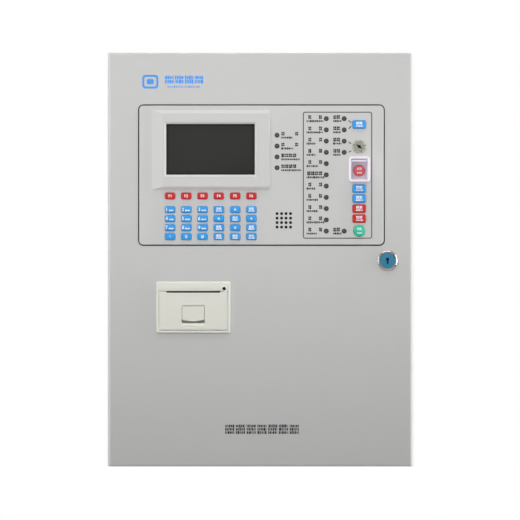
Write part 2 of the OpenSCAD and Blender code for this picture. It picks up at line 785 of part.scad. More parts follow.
module door() color([0.79, 0.79, 0.79]) {
  difference() {
    intersection() {
      door_form();
      plate(cab_w, cab_h, corner_r, front_y - 1, door_y + 1);
    }
    door_form(sheet);
    plate(fascia_w + 2 * fascia_gap, fascia_h + 2 * fascia_gap, fascia_r + fascia_gap,
          front_y - 1, door_in_y + 1, fascia_x, fascia_z);
    plate(tub_w + 2 * tub_gap, tub_h + 2 * tub_gap, tub_gap, front_y - 1, door_in_y + 1, printer_x, printer_z);
    shaft_y(lock_body_r + SHIFT, front_y - 1, door_in_y + 1, lock_x, lock_z);
    for (sz = [-1, 1]) hinge_notch(sz * hinge_z);
  }
  for (sz = [-1, 1]) door_knuckle(sz * hinge_z);
}

// Room in the door's side for one hinge
module hinge_notch(z)
  block([-cab_w / 2 - 1, hinge_y - knuckle_r - notch_gap, z - hinge_len / 2 - notch_low],
        [-cab_w / 2 + sheet + 0.1, door_y + 1, z + hinge_len / 2 + notch_high]);

// Knuckle on the door, between the two on the cabinet, with its web to the door's front
module door_knuckle(z) {
  half = door_knuckle_len / 2;
  difference() {
    union() {
      translate([hinge_x, hinge_y, z - half]) cylinder(r = knuckle_r, h = 2 * half);
      block([hinge_x - web_half, door_in_y - sheet / 2, z - half], [hinge_x + web_half, hinge_y, z + half]);
    }
    translate([hinge_x, hinge_y, z - half - 1]) cylinder(r = hinge_pin_r + RUN, h = 2 * half + 2);
  }
}

// ---- Operator panel ----

module surround() {
  left = window_x - window_w / 2 - surround_left_w;
  right = window_x + window_w / 2 + surround_w + surround_more_right;
  bottom = window_z - window_h / 2 - surround_w - surround_more_low;
  top = window_z + window_h / 2 + surround_w;
  intersection() {
    stump([left, right, bottom, top], fascia_y + surround_sink,
          [left + slope_left, right - slope_right, bottom + slope_end, top - slope_end],
          fascia_y - surround_proud);
    plate(right - left, top - bottom, surround_r, fascia_y - surround_proud - 1, fascia_y + 1,
          (left + right) / 2, (bottom + top) / 2);
  }
}

module window_cut() {
  a = [window_x - window_w / 2, window_x + window_w / 2, window_z - window_h / 2, window_z + window_h / 2];
  over = 1; // how far the cut starts in front of the surround
  grow = [-1, 1, -1, 1] * window_bevel * (window_bevel_d + over) / window_bevel_d;
  stump(a + grow, fascia_y - surround_proud - over, a, fascia_y - surround_proud + window_bevel_d);
  block([a[0], fascia_y - surround_proud, a[2]], [a[1], glass_y + 1, a[3]]);
}

module fascia() color([0.81, 0.8, 0.79]) difference() {
  union() {
    eased_plate(fascia_w, fascia_h, fascia_r, fascia_ease, fascia_y, fascia_back_y, fascia_x, fascia_z);
    difference() {
      union() {
        plate(fascia_w, fascia_h, fascia_r,
              fascia_y + fascia_ease, door_in_y + fascia_flange_t, fascia_x, fascia_z);
        plate(fascia_w + 2 * fascia_flange, fascia_h + 2 * fascia_flange, fascia_r,
              door_in_y, door_in_y + fascia_flange_t, fascia_x, fascia_z);
      }
      plate(fascia_w - 2 * fascia_rim, fascia_h - 2 * fascia_rim, 2,
            fascia_y, door_in_y + fascia_flange_t + 1, fascia_x, fascia_z);
    }
    surround();
  }
  window_cut();
  // pocket for the glass, open to the back
  block([window_x - window_w / 2 - glass_edge, glass_y, window_z - window_h / 2 - glass_edge],
        [window_x + window_w / 2 + glass_edge, 0, window_z + window_h / 2 + glass_edge]);
  for (k = KEYS)
    plate(k[3] + 2 * key_gap, k[4] + 2 * key_gap, k[5] + key_gap, fascia_y - 1, fascia_back_y + 1,
          fascia_x + k[1], fascia_z + k[2]);
  for (p = panel_lenses)
    shaft_y(lens_hole_r, fascia_y - 1, fascia_back_y + 1, fascia_x + p[0], fascia_z + p[1]);
  for (i = [-1.5 : 1.5], j = [-1.5 : 1.5])
    shaft_y(sound_hole_r, fascia_y - 1, fascia_back_y + 1,
            fascia_x + sound_at[0] + i * sound_pitch, fascia_z + sound_at[1] + j * sound_pitch);
  shaft_y(switch_body_r + switch_bore_gap, fascia_y - 1, fascia_back_y + 1, switch_x, switch_z);
  status_groove();
}

module status_groove() {
  w = status_box[1] - status_box[0];
  h = status_box[3] - status_box[2];
  stand(fascia_y - 1, fascia_y + status_line_depth, fascia_x + (status_box[0] + status_box[1]) / 2,
        fascia_z + (status_box[2] + status_box[3]) / 2) difference() {
    rounded(w, h, status_r);
    rounded(w - 2 * status_line, h - 2 * status_line, status_r - status_line);
  }
}

module display_module() color([0.2, 0.2, 0.2]) {
  edge = glass_edge - SHIFT;
  block([window_x - window_w / 2 - edge, glass_y, window_z - window_h / 2 - edge],
        [window_x + window_w / 2 + edge, glass_y + glass_t + cell_t, window_z + window_h / 2 + edge]);
  block([window_x - module_w / 2 + can_side, glass_y + glass_t + cell_t - TINY,
         window_z - module_h / 2 + can_end],
        [window_x + module_w / 2 - can_side, can_back_y, window_z + module_h / 2 - can_end]);
  block([window_x - module_w / 2, can_back_y - TINY, window_z - module_h / 2],
        [window_x + module_w / 2, can_back_y + module_board_t, window_z + module_h / 2]);
}

module indicator_lenses() color([0.36, 0.38, 0.36]) {
  for (p = panel_lenses)
    lens(fascia_x + p[0], fascia_y + lens_proud, fascia_back_y + SHIFT, fascia_z + p[1], lens_r, lens_rim);
  lens(printer_x + indicator_dx, printer_y + lens_proud, front_y, indicator_z, indicator_r, 0);
}

// Lens with a domed front, from depth y0 back to y1, and a rim of the given width behind that
module lens(x, y0, y1, z, r, rim) translate([x, y1, z]) rotate([90, 0, 0]) {
  h = y1 - y0;
  dome = 0.3 * r;
  translate([0, 0, -lens_rim_t]) cylinder(r = r, h = h + lens_rim_t - dome);
  translate([0, 0, -lens_rim_t]) cylinder(r = r + rim, h = lens_rim_t);
  intersection() {
    cylinder(r = r, h = h);
    translate([0, 0, h - 2 * r]) sphere(r = 2 * r);
  }
}

module control_board() color([0.1, 0.36, 0.2]) {
  y1 = panel_board_y + panel_board_t;
  difference() {
    block([fascia_x - fascia_w / 2 + panel_board_side, panel_board_y,
           fascia_z - fascia_h / 2 + panel_board_low],
          [fascia_x + fascia_w / 2 - panel_board_side, y1, fascia_z + fascia_h / 2 - panel_board_high]);
    block([window_x - module_w / 2 - module_room, panel_board_y - 1, window_z - module_h / 2 - module_gap],
          [window_x + module_w / 2 + module_gap, y1 + 1, window_z + module_h / 2 + module_room]);
    shaft_y(speaker_r + module_gap, panel_board_y - 1, y1 + 1, fascia_x + sound_at[0], fascia_z + sound_at[1]);
    shaft_y(switch_body_r + key_switch_room, panel_board_y - 1, y1 + 1, switch_x, switch_z);
  }
  for (k = KEYS) {
    x = fascia_x + k[1];
    z = fascia_z + k[2];
    body_y = panel_board_y - switch_h + dome_step;
    block([x - dome_half, body_y, z - dome_half], [x + dome_half, panel_board_y + TINY, z + dome_half]);
    shaft_y(dome_plunger_r, body_y - dome_step, body_y + TINY, x, z);
  }
  board_parts(PANEL_PARTS, fascia_x, fascia_z, y1, 1);
}

module speaker() color([0.15, 0.15, 0.15]) {
  x = fascia_x + sound_at[0];
  z = fascia_z + sound_at[1];
  y = fascia_back_y + speaker_gap;
  difference() {
    shaft_y(speaker_r, y, y + speaker_t, x, z);
    shaft_y(speaker_r - speaker_lip, y - 1, y + speaker_cup, x, z);
  }
  shaft_y(magnet_r, y + speaker_t - TINY, y + speaker_t + magnet_d, x, z);
}

module key_cap(k) color(k[7]) {
  x = fascia_x + k[1];
  z = fascia_z + k[2];
  top_y = fascia_y - k[6];
  rim_y = fascia_back_y + SHIFT;
  plate(k[3], k[4], k[5], top_y + key_ease, rim_y + TINY, x, z);
  plate(k[3] - 2 * key_ease, k[4] - 2 * key_ease, k[5] - key_ease, top_y, top_y + key_ease + TINY, x, z);
  plate(k[3] + 2 * key_rim, k[4] + 2 * key_rim, k[5] + key_rim, rim_y, rim_y + rim_t, x, z);
  shaft_y(stem_r, rim_y + rim_t - TINY, rim_y + rim_t + stem_len, x, z);
}

// ---- Reset guard ----

module reset_guard_frame() color([0.92, 0.88, 0.94]) difference() {
  plate(guard_w, guard_h, guard_r, fascia_y - guard_d, fascia_y, guard_x, guard_z);
  plate(guard_w - 2 * guard_rim, guard_h - 2 * guard_rim, guard_in_r,
        fascia_y - guard_d - 1, fascia_y + 1, guard_x, guard_z);
  // both bearings of the cover's pins
  half = cover_w / 2 + cover_pin_len + pin_room;
  shaft_x(cover_pin_r + RUN, guard_x - half, guard_x + half, cover_axis_y, cover_axis_z);
}

module reset_guard_cover() color([0.9, 0.9, 0.95, 0.6]) {
  y0 = fascia_y - guard_d;
  shaft_x(cover_knuckle_r, guard_x - cover_w / 2, guard_x + cover_w / 2, cover_axis_y, cover_axis_z);
  shaft_x(cover_pin_r, guard_x - cover_w / 2 - cover_pin_len, guard_x + cover_w / 2 + cover_pin_len,
          cover_axis_y, cover_axis_z);
  block([guard_x - cover_w / 2, y0, cover_bottom_z], [guard_x + cover_w / 2, y0 + cover_t, cover_axis_z]);
}

// ---- Locks ----

module lock_barrels() color([0.78, 0.76, 0.78]) {
  // door lock
  difference() {
    union() {
      shaft_y(lock_ring_r, front_y - lock_head, front_y, lock_x, lock_z);
      shaft_y(lock_body_r, front_y - TINY, lip_y, lock_x, lock_z);
    }
    shaft_y(lock_face_r + RUN, front_y - lock_head - 1, front_y - lock_head + lock_face_t + SHIFT,
            lock_x, lock_z);
    shaft_y(plug_r + RUN, front_y - lock_head, lip_y + 1, lock_x, lock_z);
  }
  stand(door_in_y, door_in_y + lock_nut_t, lock_x, lock_z) nut(lock_body_r + lock_nut_rim, lock_body_r);
  // key switch
  difference() {
    union() {
      shaft_y(switch_ring_r, fascia_y - switch_proud, fascia_y, switch_x, switch_z);
      shaft_y(switch_body_r, fascia_y - TINY, switch_back_y, switch_x, switch_z);
    }
    shaft_y(plug_r + RUN, fascia_y - switch_proud - 1, switch_back_y - switch_end, switch_x, switch_z);
  }
  stand(fascia_back_y, fascia_back_y + switch_nut_t, switch_x, switch_z)
    nut(switch_body_r + switch_nut_rim, switch_body_r);
}

// Keyhole's slit, cut along Y into a plug's face
module slit(w, top, bottom, depth, y) block([-w / 2, y - 1, bottom], [w / 2, y + depth, top]);

module key_switch_plug() color([0.66, 0.66, 0.63]) translate([switch_x, 0, switch_z]) difference() {
  face_y = fascia_y - switch_proud - switch_plug_proud;
  shaft_y(plug_r, face_y, switch_back_y - switch_end - SHIFT);
  rotate([0, 90 - switch_angle, 0])
    slit(switch_slit[0], switch_slit[1], -switch_slit[1], switch_slit[2], face_y);
}

module door_lock_plug() color([0.14, 0.5, 0.62]) translate([lock_x, 0, lock_z]) {
  face_y = front_y - lock_head;
  difference() {
    union() {
      shaft_y(lock_face_r, face_y, face_y + lock_face_t);
      shaft_y(plug_r, face_y + TINY, cam_front_y + TINY);
    }
    shaft_y(keyhole_r, face_y - 1, face_y + keyhole_d, 0, keyhole_up);
    slit(keyhole_slit_w, 0, -keyhole_low, keyhole_d, face_y);
  }
  // cam, with its round end about the plug's axis, hanging down
  stand(cam_front_y, cam_end_y) {
    circle(r = cam_w / 2 + cam_hub_rim);
    translate([-cam_w / 2, -cam_len]) square([cam_w, cam_len]);
  }
  // nut that holds the cam
  stand(cam_end_y - TINY, cam_end_y + cam_nut_t) circle(r = cam_nut_r, $fn = 6);
}

// ---- Printer ----

module printer_frame() color([0.83, 0.83, 0.81]) {
  difference() {
    union() {
      plate(printer_w, printer_h, printer_r, printer_y, front_y, printer_x, printer_z);
      block([printer_x - tub_w / 2, front_y - TINY, printer_z - tub_h / 2],
            [printer_x + tub_w / 2, tub_back_y, printer_z + tub_h / 2]);
    }
    // paper compartment, open at the front where the hatch closes it
    block([printer_x - mouth_w / 2, printer_y - 1, mouth_bottom_z],
          [printer_x + mouth_w / 2, tub_back_y - tub_t, head_z]);
    // bearings of the hatch's pins
    shaft_x(hatch_pin_r + RUN, printer_x - mouth_w / 2 - hatch_pin_len, printer_x + mouth_w / 2 + hatch_pin_len,
            hatch_axis_y, hatch_axis_z);
    // seat and hole of the indicator
    shaft_y(indicator_seat_r, printer_y - 1, printer_y + indicator_seat_d,
            printer_x + indicator_dx, indicator_z);
    shaft_y(indicator_hole_r, printer_y - 1, front_y + lens_rim_t, printer_x + indicator_dx, indicator_z);
  }
}

module printer_door() color([0.83, 0.83, 0.8]) {
  left = printer_x - hatch_w / 2;
  right = printer_x + hatch_w / 2;
  recess_low = latch_top_z - latch_recess_h;
  pin_reach = mouth_w / 2 + hatch_pin_len - hatch_pin_room;
  difference() {
    union() {
      block([left, printer_y, hatch_bottom_z], [right, printer_y + hatch_t, hatch_top_z]);
      // housing of the latch recess
      block([latch_x - latch_w / 2 - latch_wall, housing_y, recess_low - latch_wall],
            [latch_x + latch_w / 2 + latch_wall, printer_y + latch_recess_d + latch_wall,
             latch_top_z + latch_wall]);
      for (s = [-1, 1])
        block([printer_x + s * cheek_x - cheek_t / 2, housing_y, roller_z - cheek_low],
              [printer_x + s * cheek_x + cheek_t / 2, roller_y + roller_r, roller_z + cheek_high]);
      shaft_x(hatch_pin_r, printer_x - pin_reach, printer_x + pin_reach, hatch_axis_y, hatch_axis_z);
    }
    // lip that the paper passes
    block([printer_x - slot_w / 2, printer_y - 1, hatch_top_z - slot_lip],
          [printer_x + slot_w / 2, printer_y + hatch_t + 1, hatch_top_z + 1]);
    block([latch_x - latch_w / 2, printer_y - 1, recess_low],
          [latch_x + latch_w / 2, printer_y + latch_recess_d, latch_top_z]);
    // slope below the recess
    translate([latch_x + latch_w / 2, 0, 0]) rotate([0, -90, 0]) linear_extrude(latch_w)
      polygon([[recess_low - latch_bevel_h, printer_y], [recess_low + TINY, printer_y - TINY],
               [recess_low + TINY, printer_y + latch_bevel_d]]);
    shaft_x(latch_pin_r + RUN, latch_x - latch_w / 2 - latch_pin_len, latch_x + latch_w / 2 + latch_pin_len,
            latch_axis_y, latch_axis_z);
    shaft_x(roller_pin_r + RUN, printer_x - cheek_x - cheek_t, printer_x + cheek_x + cheek_t,
            roller_y, roller_z);
  }
}

module printer_latch() color([0.81, 0.81, 0.78]) {
  half = latch_w / 2 - latch_gap;
  shaft_x(latch_t / 2, latch_x - half, latch_x + half, latch_axis_y, latch_axis_z);
  pin_reach = latch_w / 2 + latch_pin_len - pin_room;
  shaft_x(latch_pin_r, latch_x - pin_reach, latch_x + pin_reach, latch_axis_y, latch_axis_z);
  stand(latch_axis_y - latch_t / 2, latch_axis_y + latch_t / 2, latch_x, latch_axis_z) intersection() {
    translate([-half, -latch_len]) square([2 * half, latch_len]);
    translate([0, latch_arc_r - latch_len]) circle(r = latch_arc_r, $fn = FINE);
  }
}

module platen_roller() color([0.2, 0.2, 0.2]) {
  inner = cheek_x - cheek_t / 2 - roller_gap;
  outer = cheek_x + cheek_t / 2 + roller_pin_end;
  shaft_x(roller_r, printer_x - inner, printer_x + inner, roller_y, roller_z);
  shaft_x(roller_pin_r, printer_x - outer, printer_x + outer, roller_y, roller_z);
}

cabinet();
mounting_plate();
main_board();
power_supply();
batteries();
cable_grommets();
hinge_pins();
screws();
door();
fascia();
display_module();
indicator_lenses();
control_board();
speaker();
printer_frame();
reset_guard_frame();
lock_barrels();
reset_guard_cover();
key_switch_plug();
door_lock_plug();
printer_door();
printer_latch();
platen_roller();
for (k = KEYS) key_cap(k);
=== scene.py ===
"""Visual model of a wall-mounted fire alarm control panel.

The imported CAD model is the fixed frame. Pieces made here take their places from its nodes, ride on
its bodies, and carry what it leaves out: eased edges, printed marks, lenses, seals and wiring.
X runs to the right, Y into the wall and Z up. Sizes are in millimetres until a mesh is made.
"""

import logging
import math
from dataclasses import dataclass, field, replace
from enum import Enum

import bmesh
import bpy
import numpy as np
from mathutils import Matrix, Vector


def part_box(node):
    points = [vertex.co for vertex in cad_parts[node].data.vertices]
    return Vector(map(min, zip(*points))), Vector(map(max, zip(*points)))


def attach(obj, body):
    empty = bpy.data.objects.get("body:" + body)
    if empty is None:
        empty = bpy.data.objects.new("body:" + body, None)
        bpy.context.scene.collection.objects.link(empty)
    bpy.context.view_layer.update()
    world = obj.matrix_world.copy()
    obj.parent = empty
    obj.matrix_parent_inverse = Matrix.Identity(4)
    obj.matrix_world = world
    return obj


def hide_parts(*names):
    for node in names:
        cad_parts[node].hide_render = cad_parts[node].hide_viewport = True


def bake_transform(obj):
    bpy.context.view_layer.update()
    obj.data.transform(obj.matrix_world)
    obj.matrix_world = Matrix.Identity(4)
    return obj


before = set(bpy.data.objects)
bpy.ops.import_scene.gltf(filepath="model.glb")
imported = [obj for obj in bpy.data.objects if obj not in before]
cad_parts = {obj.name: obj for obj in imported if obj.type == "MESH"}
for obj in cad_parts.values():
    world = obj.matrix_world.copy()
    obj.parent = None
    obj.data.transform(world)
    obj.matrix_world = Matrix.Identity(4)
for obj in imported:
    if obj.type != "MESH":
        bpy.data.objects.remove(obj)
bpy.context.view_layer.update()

Pair = tuple[float, float]
Vec = tuple[float, float, float]
Box = tuple[float, float, float, float]
Rim = tuple[float, float, float, float, float]
Profile = tuple[Pair, ...]
Tree = bpy.types.NodeTree
Socket = bpy.types.NodeSocket
Node = bpy.types.Node

LOG = logging.getLogger("alarm_panel")
MM = 0.001
ARC_STEPS = 6  # points along a quarter of a round corner
SHARP = math.radians(38)  # edges steeper than this stay crisp
WELD = 2e-7  # points closer than this, in metres, become one
INK = 0.05  # thickness of printed ink
INK_EASE = 0.02  # radius of its edges
SURROUND = 4.5  # the operator panel's front behind the display's surround
FIT = 0.1  # narrowing of a piece that lies in a hole
CAPITAL = 0.7  # height of a capital over the size of its font
BOLDNESS = 0.035  # thickening of its strokes over its height


# ---- Finishes ----


class Grain(Enum):
    """The small relief that a finish has."""

    POWDER = "powder coat with orange peel"
    MOULDED = "spark-eroded mould texture"
    SATIN = "smooth moulding"
    BRUSHED = "lines left by brushing"
    SPANGLE = "zinc crystals"
    RUBBER = "dull rubber"
    INKED = "printed ink"
    BOARD = "solder mask over copper tracks"
    WOVEN = "ribbed insulation"


def linear(tone: Vec) -> Box:
    """Turns a display colour of 0 to 255 per channel into linear light.

    Args:
        tone: Red, green and blue as a display shows them.

    Returns:
        Linear red, green and blue from 0 to 1, with an alpha of 1.
    """
    c = np.asarray(tone, float) / 255
    low = c / 12.92
    high = ((c + 0.055) / 1.055) ** 2.4
    r, g, b = np.where(c <= 0.04045, low, high)
    return (float(r), float(g), float(b), 1.0)


def add_node(tree: Tree, kind: str, values: dict[str, object] | None = None,
             links: dict[str, Socket] | None = None) -> Node:
    """Adds a shader node.

    Args:
        tree: The nodes that it joins.
        kind: Its type, without the prefix that all shader nodes share.
        values: Values of its inputs.
        links: Outputs of other nodes that feed its inputs.

    Returns:
        The node.
    """
    node = tree.nodes.new("ShaderNode" + kind)
    for name, value in (values or {}).items():
        node.inputs[name].default_value = value
    for name, socket in (links or {}).items():
        tree.links.new(socket, node.inputs[name])
    return node


@dataclass(frozen=True)
class Finish:
    """One surface finish, made into a procedural material on object coordinates."""

    name: str
    tone: Vec  # display colour, 0 to 255 per channel
    roughness: float
    grain: Grain
    grain_mm: float  # size of the relief's features
    relief: float  # its strength, 0 to 1
    mottle: float  # share by which the colour drifts from patch to patch
    metallic: float = 0.0
    coat: float = 0.0
    alpha: float = 1.0

    def like(self, name: str, tone: Vec) -> "Finish":
        """The same finish in another colour."""
        return replace(self, name=name, tone=tone)

    def make(self) -> bpy.types.Material:
        """Builds the material once and returns it on every later call.

        Returns:
            The Blender material.
        """
        found = bpy.data.materials.get(self.name)
        if found is not None:
            return found
        material = bpy.data.materials.new(self.name)
        material.use_nodes = True
        tree = material.node_tree
        shader = tree.nodes["Principled BSDF"]
        for name, value in (("Metallic", self.metallic), ("Coat Weight", self.coat),
                            ("Coat Roughness", 0.12), ("Alpha", self.alpha)):
            shader.inputs[name].default_value = value
        place = add_node(tree, "TexCoord").outputs["Object"]
        for name, socket in (("Base Color", self._colour(tree, place)),
                             ("Roughness", self._roughness(tree, place)),
                             ("Normal", self._relief(tree, place))):
            tree.links.new(socket, shader.inputs[name])
        return material

    def _noise(self, tree: Tree, place: Socket, size_mm: float, detail: float = 2.0,
               stretch: Vec = (1, 1, 1)) -> Socket:
        """Adds noise whose features have a given size.

        Args:
            tree: The material's nodes.
            place: Object coordinates in metres.
            size_mm: Size of a feature.
            detail: Octaves of finer noise.
            stretch: Factors on the three coordinates.

        Returns:
            The noise's value, around 0.5.
        """
        mapping = add_node(tree, "Mapping", {"Scale": stretch}, {"Vector": place})
        noise = add_node(tree, "TexNoise", {"Scale": 1 / (size_mm * MM), "Detail": detail},
                         {"Vector": mapping.outputs["Vector"]})
        return noise.outputs["Fac"]

    def _cells(self, tree: Tree, place: Socket) -> Socket:
        """Adds a pattern of random cells and returns each cell's random grey."""
        cells = add_node(tree, "TexVoronoi", {"Scale": 1 / (self.grain_mm * MM)}, {"Vector": place})
        return add_node(tree, "SeparateColor", links={"Color": cells.outputs["Color"]}).outputs["Red"]

    def _tracks(self, tree: Tree, place: Socket) -> Socket:
        """Adds the narrow joints of a brick pattern, which read as copper tracks."""
        turn = add_node(tree, "Mapping", {"Rotation": (math.pi / 2, 0, 0)}, {"Vector": place})
        return add_node(tree, "TexBrick", {
            "Scale": 90, "Mortar Size": 0.06, "Brick Width": 0.9, "Row Height": 0.22,
            "Color1": (0, 0, 0, 1), "Color2": (0.15, 0.15, 0.15, 1), "Mortar": (1, 1, 1, 1),
        }, {"Vector": turn.outputs["Vector"]}).outputs["Color"]

    def _pattern(self, tree: Tree, place: Socket, size_mm: float, detail: float) -> Socket:
        """Adds the grain's pattern: cells, tracks, brushed lines along X, or noise."""
        if self.grain is Grain.SPANGLE:
            return self._cells(tree, place)
        if self.grain is Grain.BOARD:
            return self._tracks(tree, place)
        if self.grain is Grain.BRUSHED:
            return self._noise(tree, place, self.grain_mm, detail, (0.04, 1, 1))
        return self._noise(tree, place, size_mm, detail)

    def _colour(self, tree: Tree, place: Socket) -> Socket:
        """Lets the colour drift between a darker and a lighter tone over the surface."""
        base = np.array(linear(self.tone)[:3])
        mix = add_node(tree, "Mix")
        mix.data_type = "RGBA"
        for name, way in (("A", -1), ("B", 1)):
            mix.inputs[name].default_value = (*np.clip(base * (1 + way * self.mottle), 0, 1), 1)
        tree.links.new(self._pattern(tree, place, 24 * self.grain_mm, 3), mix.inputs["Factor"])
        return mix.outputs["Result"]

    def _roughness(self, tree: Tree, place: Socket) -> Socket:
        """Varies the gloss a little, as handling and moulding leave it."""
        return add_node(tree, "MapRange", {
            "To Min": max(self.roughness - 0.05, 0.02), "To Max": min(self.roughness + 0.05, 1.0),
        }, {"Value": self._noise(tree, place, 7 * self.grain_mm)}).outputs["Result"]

    def _relief(self, tree: Tree, place: Socket) -> Socket:
        """Presses the grain into the surface as a bump."""
        bump = add_node(tree, "Bump", {"Strength": self.relief, "Distance": 0.12 * self.grain_mm * MM},
                        {"Height": self._pattern(tree, place, self.grain_mm, 2)})
        return bump.outputs["Normal"]


PAINT = Finish("grey_powder_coat", (203, 203, 202), 0.42, Grain.POWDER, 1.6, 0.07, 0.012)
PANEL = Finish("panel_moulding", (206, 206, 204), 0.48, Grain.MOULDED, 0.9, 0.1, 0.012)
PRINTER_SHELL = Finish("warm_moulding", (231, 231, 221), 0.45, Grain.MOULDED, 0.9, 0.08, 0.012)
GLASS = Finish("display_window", (38, 38, 36), 0.32, Grain.SATIN, 3.0, 0.02, 0.04)
GLASS_EDGE = Finish("display_border", (22, 22, 21), 0.4, Grain.SATIN, 3.0, 0.02, 0.04)
LENS = Finish("smoked_lens", (84, 84, 82), 0.3, Grain.SATIN, 1.0, 0.03, 0.08)
# Black holder of each indicator lens; its dark tone is partly painted shade of the gap round the lens
LENS_RING = Finish("lens_collar", (38, 38, 38), 0.45, Grain.MOULDED, 0.6, 0.1, 0.05)
RED_KEY = Finish("red_keycap", (208, 8, 22), 0.36, Grain.SATIN, 0.8, 0.05, 0.03, coat=0.25)
RESET_KEY = RED_KEY.like("reset_keycap", (228, 12, 34))
BLUE_KEY = RED_KEY.like("blue_keycap", (34, 158, 236))
GREEN_KEY = RED_KEY.like("green_keycap", (40, 196, 156))
LEGEND = Finish("white_legend", (240, 244, 252), 0.5, Grain.INKED, 0.5, 0.05, 0.02)
BLACK_INK = Finish("black_ink", (44, 44, 46), 0.6, Grain.INKED, 0.4, 0.1, 0.06)
GREY_INK = BLACK_INK.like("grey_ink", (52, 52, 54))
OUTLINE_INK = Finish("outline_ink", (60, 60, 61), 0.6, Grain.INKED, 0.4, 0.1, 0.05)
BLUE_INK = Finish("blue_ink", (72, 156, 240), 0.55, Grain.INKED, 0.4, 0.1, 0.05)
GUARD = Finish("guard_moulding", (243, 235, 246), 0.3, Grain.SATIN, 1.0, 0.03, 0.02, coat=0.3)
# Darker copy of the guard moulding for the guard's floor: painted shade of the recess under the shield
GUARD_BASE_SHADE = Finish("guard_base_shaded", (204, 194, 212), 0.4, Grain.SATIN, 1.0, 0.03, 0.02)
GUARD_CLEAR = Finish("guard_shield", (240, 236, 246), 0.08, Grain.SATIN, 4.0, 0.02, 0.01, alpha=0.05)
CHROME = Finish("lock_chrome", (200, 196, 204), 0.2, Grain.BRUSHED, 0.5, 0.06, 0.05, 1.0)
LOCK_BLUE = Finish("blue_enamel", (34, 128, 162), 0.32, Grain.SATIN, 1.2, 0.05, 0.05, coat=0.3)
SWITCH_RING = Finish("switch_ring", (196, 196, 184), 0.28, Grain.BRUSHED, 0.4, 0.1, 0.06, 0.5)
SWITCH_STEEL = Finish("switch_steel", (176, 177, 164), 0.3, Grain.BRUSHED, 0.4, 0.15, 0.08, 0.55)
BRIGHT_STEEL = Finish("bright_steel", (196, 196, 194), 0.3, Grain.BRUSHED, 0.4, 0.12, 0.06, 1.0)
# Near black: painted shade in the door lock's keyhole, the key switch's slot, the sound holes and the paper
# slot, and the printer lamp's real colour
DARK_SHADE_AND_LAMP = Finish("shade_and_lamp_dark", (9, 9, 10), 0.7, Grain.RUBBER, 0.5, 0.1, 0.1)
# Dark tone of the strip at the bottom of the groove round the operator panel
GROOVE_STRIP = Finish("black_groove_strip", (40, 40, 41), 0.8, Grain.RUBBER, 0.7, 0.25, 0.08)
FOAM = Finish("door_foam", (58, 58, 60), 0.95, Grain.RUBBER, 0.9, 0.6, 0.15)
RUBBER = Finish("grommet_rubber", (34, 34, 35), 0.7, Grain.RUBBER, 0.8, 0.2, 0.1)
ROLLER = Finish("ground_rubber", (40, 40, 42), 0.75, Grain.RUBBER, 0.4, 0.3, 0.1)
ZINC = Finish("zinc_plate", (188, 192, 194), 0.42, Grain.SPANGLE, 5.0, 0.04, 0.1, 0.9)
SUPPLY = Finish("brushed_aluminium", (196, 198, 200), 0.4, Grain.BRUSHED, 0.5, 0.15, 0.07, 0.9)
CASE = Finish("battery_case", (50, 52, 56), 0.6, Grain.MOULDED, 1.2, 0.3, 0.08)
BOARD = Finish("green_board", (16, 84, 48), 0.35, Grain.BOARD, 1.0, 0.1, 0.35, coat=0.3)
BLACK_PART = Finish("black_component", (30, 30, 32), 0.5, Grain.MOULDED, 0.5, 0.15, 0.08)
TERMINAL = Finish("terminal_green", (72, 160, 96), 0.5, Grain.MOULDED, 0.8, 0.1, 0.05)
TINNED = Finish("tinned_contact", (206, 200, 186), 0.3, Grain.BRUSHED, 0.3, 0.1, 0.05, 1.0)
CONE = Finish("speaker_cone", (30, 30, 30), 0.9, Grain.RUBBER, 0.6, 0.5, 0.15)
PAPER = Finish("receipt_paper", (238, 238, 232), 0.85, Grain.MOULDED, 0.5, 0.1, 0.02)
WIRE_RED = Finish("red_insulation", (176, 30, 30), 0.45, Grain.WOVEN, 0.8, 0.05, 0.04)
WIRE_BLACK = Finish("black_insulation", (28, 28, 30), 0.45, Grain.WOVEN, 0.8, 0.05, 0.05)
WIRE_GREY = Finish("grey_jacket", (120, 122, 124), 0.55, Grain.WOVEN, 0.8, 0.08, 0.05)
TAG = Finish("plain_tag", (214, 214, 206), 0.6, Grain.INKED, 0.6, 0.05, 0.03)
WHITE_RING = Finish("white_moulding", (250, 250, 248), 0.4, Grain.SATIN, 0.8, 0.03, 0.01)
FLOOR = Finish("studio_floor", (236, 236, 236), 0.85, Grain.MOULDED, 6.0, 0.05, 0.01)
FLOOR_GLOW = (205, 205, 206)


# ---- Surfaces ----


def outline(width: float, height: float, radius: float, steps: int = ARC_STEPS) -> np.ndarray:
    """Points round a rectangle with round corners, in order against the clock.

    Formula: corner k adds the quarter circle of angles from k to k + 1 quarter turns, round a
    centre that lies the radius inside both sides. A radius of half the width gives a circle.

    Args:
        width: Full width.
        height: Full height.
        radius: Corner radius, cut to what fits.
        steps: Segments of each quarter circle.

    Returns:
        Array of 4 * (steps + 1) rows of two coordinates.
    """
    r = max(min(radius, width / 2, height / 2), 1e-4)
    angle = np.linspace(0, np.pi / 2, steps + 1)[None, :] + np.arange(4)[:, None] * np.pi / 2
    centre_x = np.array([1, -1, -1, 1])[:, None] * (width / 2 - r)
    centre_z = np.array([1, 1, -1, -1])[:, None] * (height / 2 - r)
    return np.stack([centre_x + r * np.cos(angle), centre_z + r * np.sin(angle)], -1).reshape(-1, 2)


def ring(x: float, z: float, width: float, height: float, radius: float, y: float,
         steps: int = ARC_STEPS) -> np.ndarray:
    """The outline as a ring at depth y, round the centre (x, z)."""
    flat = outline(width, height, radius, steps)
    return np.stack([x + flat[:, 0], np.full(len(flat), float(y)), z + flat[:, 1]], -1)


def circle_y(x: float, z: float, radius: float, y: float, count: int, turn: float = 0.0) -> np.ndarray:
    """Corners of a regular shape of count sides at depth y, the first one at the angle turn from X."""
    angle = turn + np.linspace(0, 2 * np.pi, count, endpoint=False)
    return np.stack([x + radius * np.cos(angle), np.full(count, y), z + radius * np.sin(angle)], -1)


